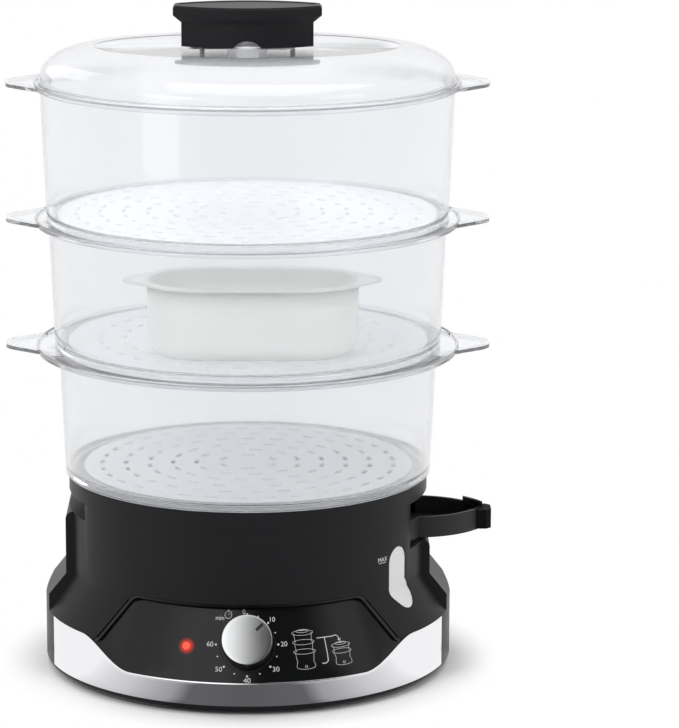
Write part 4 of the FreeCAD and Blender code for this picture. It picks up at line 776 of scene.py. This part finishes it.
# carrying ear: a flat tongue with a round tip, a bead round its edge and a root that follows the mouth
def earMesh(top, mouth, side):
    bm = bmesh.new()
    tip, root, rootHalf = bowls["earTip"], mouth - bowls["wall"] / 2, bowls["earRootHalf"]
    centre = bowls["earReach"] - tip
    rootX = math.sqrt(root ** 2 - rootHalf ** 2)
    touch = Vector((centre + tip * bowls["earTouch"][0], tip * bowls["earTouch"][1]))
    lean = (touch.x - rootX) / (rootHalf - touch.y)
    apex = touch.x + touch.y * lean
    under = top - bowls["flangeWall"]
    corners = [bm.verts.new((x * mm, y * mm, under * mm)) for x, y in (
        (rootX, -rootHalf), (apex, 0), (rootX, rootHalf))]
    bm.faces.new(corners)
    rootEdge = next(e for e in bm.edges if corners[0] in e.verts and corners[2] in e.verts)
    bmesh.ops.bevel(bm, geom=[corners[1]], offset=(touch - Vector((apex, 0))).length * mm,
                    affect="VERTICES", segments=bowls["earTipSteps"], profile=0.5, material=-1)
    bmesh.ops.subdivide_edges(bm, edges=[rootEdge], cuts=bowls["earRootCuts"], use_grid_fill=False)
    for vert in bm.verts:
        if abs(vert.co.x - rootX * mm) < 1e-6:
            vert.co.x = math.sqrt((root * mm) ** 2 - vert.co.y ** 2)
    bm.faces.ensure_lookup_table()
    raised = bmesh.ops.extrude_face_region(bm, geom=[bm.faces[0]])
    lifted = [g for g in raised["geom"] if isinstance(g, bmesh.types.BMVert)]
    bmesh.ops.translate(bm, verts=lifted, vec=(0, 0, (bowls["flangeWall"] + bowls["bead"]) * mm))
    topFace = max(bm.faces, key=lambda f: f.calc_center_median().z)
    bmesh.ops.inset_region(bm, faces=[topFace], thickness=bowls["beadWidth"] * mm, depth=0)
    sunk = bmesh.ops.extrude_face_region(bm, geom=[topFace])
    floorVerts = [g for g in sunk["geom"] if isinstance(g, bmesh.types.BMVert)]
    bmesh.ops.delete(bm, geom=[topFace], context="FACES_ONLY")
    bmesh.ops.translate(bm, verts=floorVerts, vec=(0, 0, -bowls["bead"] * mm))
    if side < 0:
        bmesh.ops.rotate(bm, verts=bm.verts, matrix=Matrix.Rotation(math.pi, 3, "Z"))
    bmesh.ops.recalc_face_normals(bm, faces=bm.faces)
    return meshObject("ear", bm)


def buildBowl(finish, name, body, node, foot, seat, top, spigot):
    wall, low = bowls["wall"], seat + bowls["lift"]
    under, mouth, floor = top - bowls["flangeWall"], foot + bowls["flare"], low + bowls["floorRise"]
    edge, rim = bowls["flangeRadius"], top + bowls["bead"]
    inside, tip = edge - bowls["beadWidth"], low - bowls["spigotDrop"]
    throat, ledge = spigot - wall, floor + wall - bowls["plate"] - bowls["seam"]
    lip = throat - bowls["plateLip"]
    piece = turnedPiece(name, [
        (lip, floor), (throat, floor), (throat, tip), (spigot, tip), (spigot, floor),
        (foot - wall, floor), (foot - wall, low), (foot, low), (mouth, under), (edge, under), (edge, rim),
        (inside, rim), (inside, top), (mouth - wall, top), (foot - wall, floor + wall),
        (throat, floor + wall), (throat, ledge), (lip, ledge)], bowls["rounds"], bowls["steps"])
    for side in (-1, 1):
        applyBoolean(piece, earMesh(top, mouth, side), "UNION")
    smoothByAngle(piece)
    dress(piece, finish["clear"], body, "bowl_clear", node)
    dressedCopy(node.replace("bowl", "plate"), name + "Floor", finish["haze"], body, "bowl_clear")
    print(name, "made,", len(piece.data.polygons), "faces")


riceBowl = {
    "centre": (3.2, -41.0), "halfX": 61.6, "halfY": 31.9, "wall": 1.6, "low": 201.9, "height": 44.0,
    "footRound": 9.0, "footSteps": 6, "rim": 4.6, "lip": 0.6, "earReach": 77.2, "earHalf": 20.0,
    "draft": (0.25, 24), "taper": 0.94, "steps": 48, "sharper": 60,
}


# closed oblong loop with half-round ends
def oblong(bm, halfX, halfY, z):
    made = bmesh.ops.create_circle(bm, segments=riceBowl["steps"], radius=halfY * mm,
                                   matrix=Matrix.Translation((0, 0, z * mm)))
    for vert in made["verts"]:
        vert.co.x += math.copysign((halfX - halfY) * mm, vert.co.x) if abs(vert.co.x) > 1e-7 else 0


def buildRiceBowl(finish):
    b = riceBowl
    bm = bmesh.new()
    straight = (b["halfX"] - b["halfY"]) * mm
    levels = []
    for k in range(b["footSteps"] + 1):  # quarter-round foot, then the wall
        turn = math.radians(15 * k)
        inset = b["footRound"] * (1 - math.sin(turn))
        lean = (1 - b["taper"]) * 8 * (1 - k / 30)
        levels.append((inset + lean, b["footRound"] * (1 - math.cos(turn))))
    levels += [b["draft"], (0.0, b["height"] - b["lip"]), (-b["lip"], b["height"])]
    loops = []
    for inset, height in levels:
        before = set(bm.edges)
        oblong(bm, b["halfX"] - inset, b["halfY"] - inset, b["low"] + height)
        loops.append([e for e in bm.edges if e not in before])
    for lower, upper in zip(loops, loops[1:]):
        bmesh.ops.bridge_loops(bm, edges=lower + upper)
    bmesh.ops.contextual_create(bm, geom=loops[0])
    outward = bmesh.ops.extrude_edge_only(bm, edges=loops[-1])
    earOut = b["earReach"] - b["halfX"] - b["rim"] - b["lip"]
    for vert in [g for g in outward["geom"] if isinstance(g, bmesh.types.BMVert)]:
        flat = Vector((vert.co.x, vert.co.y, 0))
        side = Vector((math.copysign(max(abs(flat.x) - straight, 0), flat.x), flat.y, 0))
        vert.co += side.normalized() * b["rim"] * mm
        onEnd = abs(flat.x) > straight
        earShare = max(0.0, 1 - abs(flat.y) / (b["earHalf"] * mm)) if onEnd else 0
        ease = earShare ** 2 * (3 - 2 * earShare)
        vert.co.x += math.copysign(ease * earOut * mm, flat.x)
    bmesh.ops.translate(bm, verts=bm.verts, vec=(b["centre"][0] * mm, b["centre"][1] * mm, 0))
    bmesh.ops.recalc_face_normals(bm, faces=bm.faces)
    piece = meshObject("riceBowl", bm, b["sharper"])
    wall = piece.modifiers.new("wall", "SOLIDIFY")
    wall.thickness, wall.offset, wall.use_even_offset = b["wall"] * mm, -1, True
    dress(piece, finish["milk"], "rice", "rice_clear", "rice_bowl")


lid = {
    "rim": 124.4, "low": 358.0, "side": 5.0, "top": 380.0, "topX": 92.0, "topY": 60.0, "wall": 1.9,
    "spigot": 121.4, "spigotWall": 2, "spigotDrop": 3.2, "brim": 125.9, "brimHeight": 2, "brimRoot": 2.6,
    "brimRounds": {0: 0.5, 1: 0.5, 3: 0.6, 4: 0.6}, "crownStep": (0.7, 0.6, 0.35),
    "ventRadius": 12.0, "ventWall": 1.6, "ventTop": 387.0, "ventRoot": 2, "ventCut": (4, 1),
    "levels": 18, "steps": 192, "ventSteps": 64,
}


# the dome: a loop that starts round at the rim and draws in to an oval at the top
def domeLoops(bm):
    sideTop = lid["low"] + lid["side"]
    shares = [0.0] + [math.sin(math.pi / 2 * k / lid["levels"]) for k in range(lid["levels"] + 1)]
    heights = [lid["low"]] + [sideTop + (lid["top"] - sideTop) * share for share in shares[1:]]
    loops = []
    for share, height in zip(shares, heights):
        ease = 1 - math.sqrt(1 - share ** 2)
        across = lid["rim"] + (lid["topX"] - lid["rim"]) * ease
        deep = lid["rim"] + (lid["topY"] - lid["rim"]) * ease
        size = Matrix.Diagonal((across * mm, deep * mm, 1, 1))
        made = bmesh.ops.create_circle(bm, segments=lid["steps"], radius=1,
                                       matrix=Matrix.Translation((0, 0, height * mm)) @ size)
        loops.append(list(dict.fromkeys(e for v in made["verts"] for e in v.link_edges)))
    return loops


def buildLid(finish):
    bm = bmesh.new()
    loops = domeLoops(bm)
    for lower, upper in zip(loops, loops[1:]):
        bmesh.ops.bridge_loops(bm, edges=lower + upper)
    crown = bmesh.ops.contextual_create(bm, geom=loops[-1])["faces"]
    edgeWidth, stepWidth, stepDepth = lid["crownStep"]
    bmesh.ops.inset_region(bm, faces=crown, thickness=edgeWidth * mm, depth=0)
    bmesh.ops.inset_region(bm, faces=crown, thickness=stepWidth * mm, depth=-stepDepth * mm)
    bmesh.ops.recalc_face_normals(bm, faces=bm.faces)
    bmesh.ops.solidify(bm, geom=bm.faces[:], thickness=lid["wall"] * mm)
    bmesh.ops.recalc_face_normals(bm, faces=bm.faces)
    piece = meshObject("domeLid", bm)

    low, spigot, tip = lid["low"], lid["spigot"], lid["low"] - lid["spigotDrop"]
    inner, high = spigot - lid["spigotWall"], low + lid["brimHeight"]
    rim = turnedPiece("lidRim", [
        (inner, tip), (spigot, tip), (spigot, low), (lid["brim"], low), (lid["brim"], high),
        (lid["rim"] - lid["brimRoot"], high), (inner, high)], lid["brimRounds"], lid["steps"])
    applyBoolean(piece, rim, "UNION")
    outer, bore = lid["ventRadius"], lid["ventRadius"] - lid["ventWall"]
    root = lid["top"] - lid["ventRoot"]
    vent = turnedPiece("ventWall", [
        (bore, root), (outer, root), (outer, lid["ventTop"]), (bore, lid["ventTop"])],
        {2: 0.4, 3: 0.4}, lid["ventSteps"])
    applyBoolean(piece, vent, "UNION")
    cutLow, cutHigh = lid["top"] - lid["ventCut"][0], lid["top"] + lid["ventCut"][1]
    throat = turnedPiece("ventThroat", [(0, cutLow), (bore, cutLow), (bore, cutHigh), (0, cutHigh)],
                         steps=lid["ventSteps"], closed=False)
    applyBoolean(piece, throat, "DIFFERENCE")
    smoothByAngle(piece)
    dress(piece, finish["clear"], "cover", "bowl_clear", "lid")
    print("lid made,", len(piece.data.polygons), "faces")


handle = {
    "half": 44.5, "deep": 23.0, "end": 7.0, "inset": 5.0, "insetDeep": 0.8, "seat": 380.2, "top": 404.6,
    "cap": 6.0, "slope": 4.0, "wall": 2.6, "dish": (2.2, 0.8, 0.5), "soften": 1.4, "bowSteps": 20,
    "notch": 10.5, "notchHeight": 374.0, "notchLength": 80, "notchSteps": 64,
    "screw": 27.0, "post": (1.6, 4, 0.3),  # bore, radius, how far it reaches into the cap
    "sharper": 24, "crisp": 28, "edge": 0.35, "edgeAngle": 34,
}


# plan of the handle: two long bows joined by short straight ends
def handlePlan(bm, half, deep, z):
    steps = handle["bowSteps"]
    drop = deep - handle["end"]
    radius = (half ** 2 + drop ** 2) / (2 * drop)
    spread = math.asin(half / radius)
    points = []
    for side in (1, -1):
        for k in range(steps + 1):
            turn = spread * (2 * k / steps - 1)
            x, y = radius * math.sin(turn), radius * math.cos(turn) - radius + deep
            points.append((side * x, side * y))
    verts = [bm.verts.new((x * mm, y * mm, z * mm)) for x, y in points]
    return [bm.edges.new((a, b)) for a, b in zip(verts, verts[1:] + verts[:1])]


def buildHandle(finish):
    h = handle
    stemX, stemY = h["half"] - h["inset"], h["deep"] - h["inset"] * h["insetDeep"]
    capLow, soft = h["top"] - h["cap"], h["soften"]
    bm = bmesh.new()
    loops = [handlePlan(bm, *facts) for facts in (
        (stemX, stemY, h["seat"]), (stemX, stemY, capLow - h["slope"]), (h["half"], h["deep"], capLow),
        (h["half"], h["deep"], h["top"] - soft), (h["half"] - soft, h["deep"] - soft, h["top"]))]
    for lower, upper in zip(loops, loops[1:]):
        bmesh.ops.bridge_loops(bm, edges=lower + upper)
    deck = bmesh.ops.contextual_create(bm, geom=loops[-1])["faces"]
    bmesh.ops.contextual_create(bm, geom=loops[0])
    margin, slant, depth = h["dish"]
    bmesh.ops.inset_region(bm, faces=deck, thickness=margin * mm, depth=0)
    bmesh.ops.inset_region(bm, faces=deck, thickness=slant * mm, depth=-depth * mm)
    bmesh.ops.recalc_face_normals(bm, faces=bm.faces)
    piece = meshObject("lidHandle", bm, h["sharper"])

    ceiling = h["top"] - h["wall"]
    bm = bmesh.new()
    core = [handlePlan(bm, stemX - h["wall"], stemY - h["wall"], z) for z in (h["seat"] - 1, ceiling)]
    bmesh.ops.bridge_loops(bm, edges=core[0] + core[1])
    for loop in core:
        bmesh.ops.contextual_create(bm, geom=loop)
    bmesh.ops.recalc_face_normals(bm, faces=bm.faces)
    applyBoolean(piece, meshObject("handleHollow", bm), "DIFFERENCE")

    lying = Matrix.Translation((0, 0, h["notchHeight"] * mm)) @ Matrix.Rotation(math.pi / 2, 4, "X")
    bm = bmesh.new()
    bmesh.ops.create_cone(bm, cap_ends=True, segments=h["notchSteps"], radius1=h["notch"] * mm,
                          radius2=h["notch"] * mm, depth=h["notchLength"] * mm, matrix=lying)
    applyBoolean(piece, meshObject("steamNotch", bm), "DIFFERENCE")
    bore, radius, rise = h["post"]
    for side in (-1, 1):
        post = turnedPiece("screwPost", [(bore, h["seat"]), (radius, h["seat"]), (radius, ceiling + rise),
                                         (bore, ceiling + rise)], steps=32)
        post.data.transform(Matrix.Translation((side * h["screw"] * mm, 0, 0)))
        applyBoolean(piece, post, "UNION")
    smoothByAngle(piece, h["crisp"])
    edge = piece.modifiers.new("edge", "BEVEL")
    edge.width, edge.segments, edge.limit_method = h["edge"] * mm, 2, "ANGLE"
    edge.angle_limit = math.radians(h["edgeAngle"])
    edge.harden_normals = True
    dress(piece, finish["body"], "cover", "housing_plastic", "lid_handle")


# nodes whose shape is kept: the first ones are shaded smooth as copies, the second keep their own mesh
carried = {
    "copies": [  # node, name, finish, body, slot
        ("outer_housing", "outerHousing", "body", "base", "housing_plastic"),
        ("top_collar", "topCollar", "body", "base", "housing_plastic"),
        ("left_pocket", "leftPocket", "body", "base", "housing_plastic"),
        ("right_pocket", "rightPocket", "body", "base", "housing_plastic"),
        ("heater_cup", "heaterCup", "trim", "base", "tank_plastic"),
        ("control_panel", "controlPanel", "panel", "base", "panel_gloss"),
        ("water_level_window", "levelWindow", "pane", "base", "window_frosted"),
        ("cord_gland", "cordGland", "rubber", "base", "gland_rubber"),
        ("rubber_feet", "rubberFeet", "rubber", "base", "feet_rubber"),
        ("bottom_cover", "bottomCover", "trim", "base", "cover_plastic"),
        ("drip_tray", "dripTray", "tray", "juice_tray", "tray_plastic"),
        ("drip_plate", "dripPlate", "tray", "juice_tray", "tray_plastic"),
        ("drip_rim", "dripRim", "tray", "juice_tray", "tray_plastic"),
        ("turbo_ring", "turboRing", "trim", "turbo", "ring_plastic"),
        ("water_tank", "waterTank", "trim", "base", "tank_plastic"),
    ],
    "hidden": {
        "indicator_lens": "lens", "indicator_lamp": "lens", "timer_shaft": "steel",
        "timer_body": "steel", "timer_screws": "steel", "bottom_screws": "steel",
        "heating_plate": "aluminium", "heater_gasket": "silicone", "heating_element": "steel",
        "element_clamp": "aluminium", "thermostat": "bakelite", "thermal_fuse": "steel",
        "terminal_block": "ceramic", "live_lead": "brownJacket", "neutral_lead": "blueJacket",
        "lid_handle_screws": "steel",
    },
}


def dressRest(finish):
    for node, name, material, body, slotName in carried["copies"]:
        dressedCopy(node, name, finish[material], body, slotName)
    for node, material in carried["hidden"].items():
        mesh = cadNodes[node].data
        mesh.materials.clear()
        mesh.materials.append(finish[material])


buildRoom()
buildFloor()
buildFlag()
buildLamps()
buildCamera()
print("studio ready")
finish = buildFinishes()
dressRest(finish)
buildBand(finish)
buildPanelPrint(finish)
buildWindowMark(finish)
buildKnob(finish)
buildFiller(finish)
print("base dressed")
for bowlFacts in bowls["stack"]:
    buildBowl(finish, *bowlFacts)
buildRiceBowl(finish)
buildLid(finish)
buildHandle(finish)
print("bowls and lid ready")
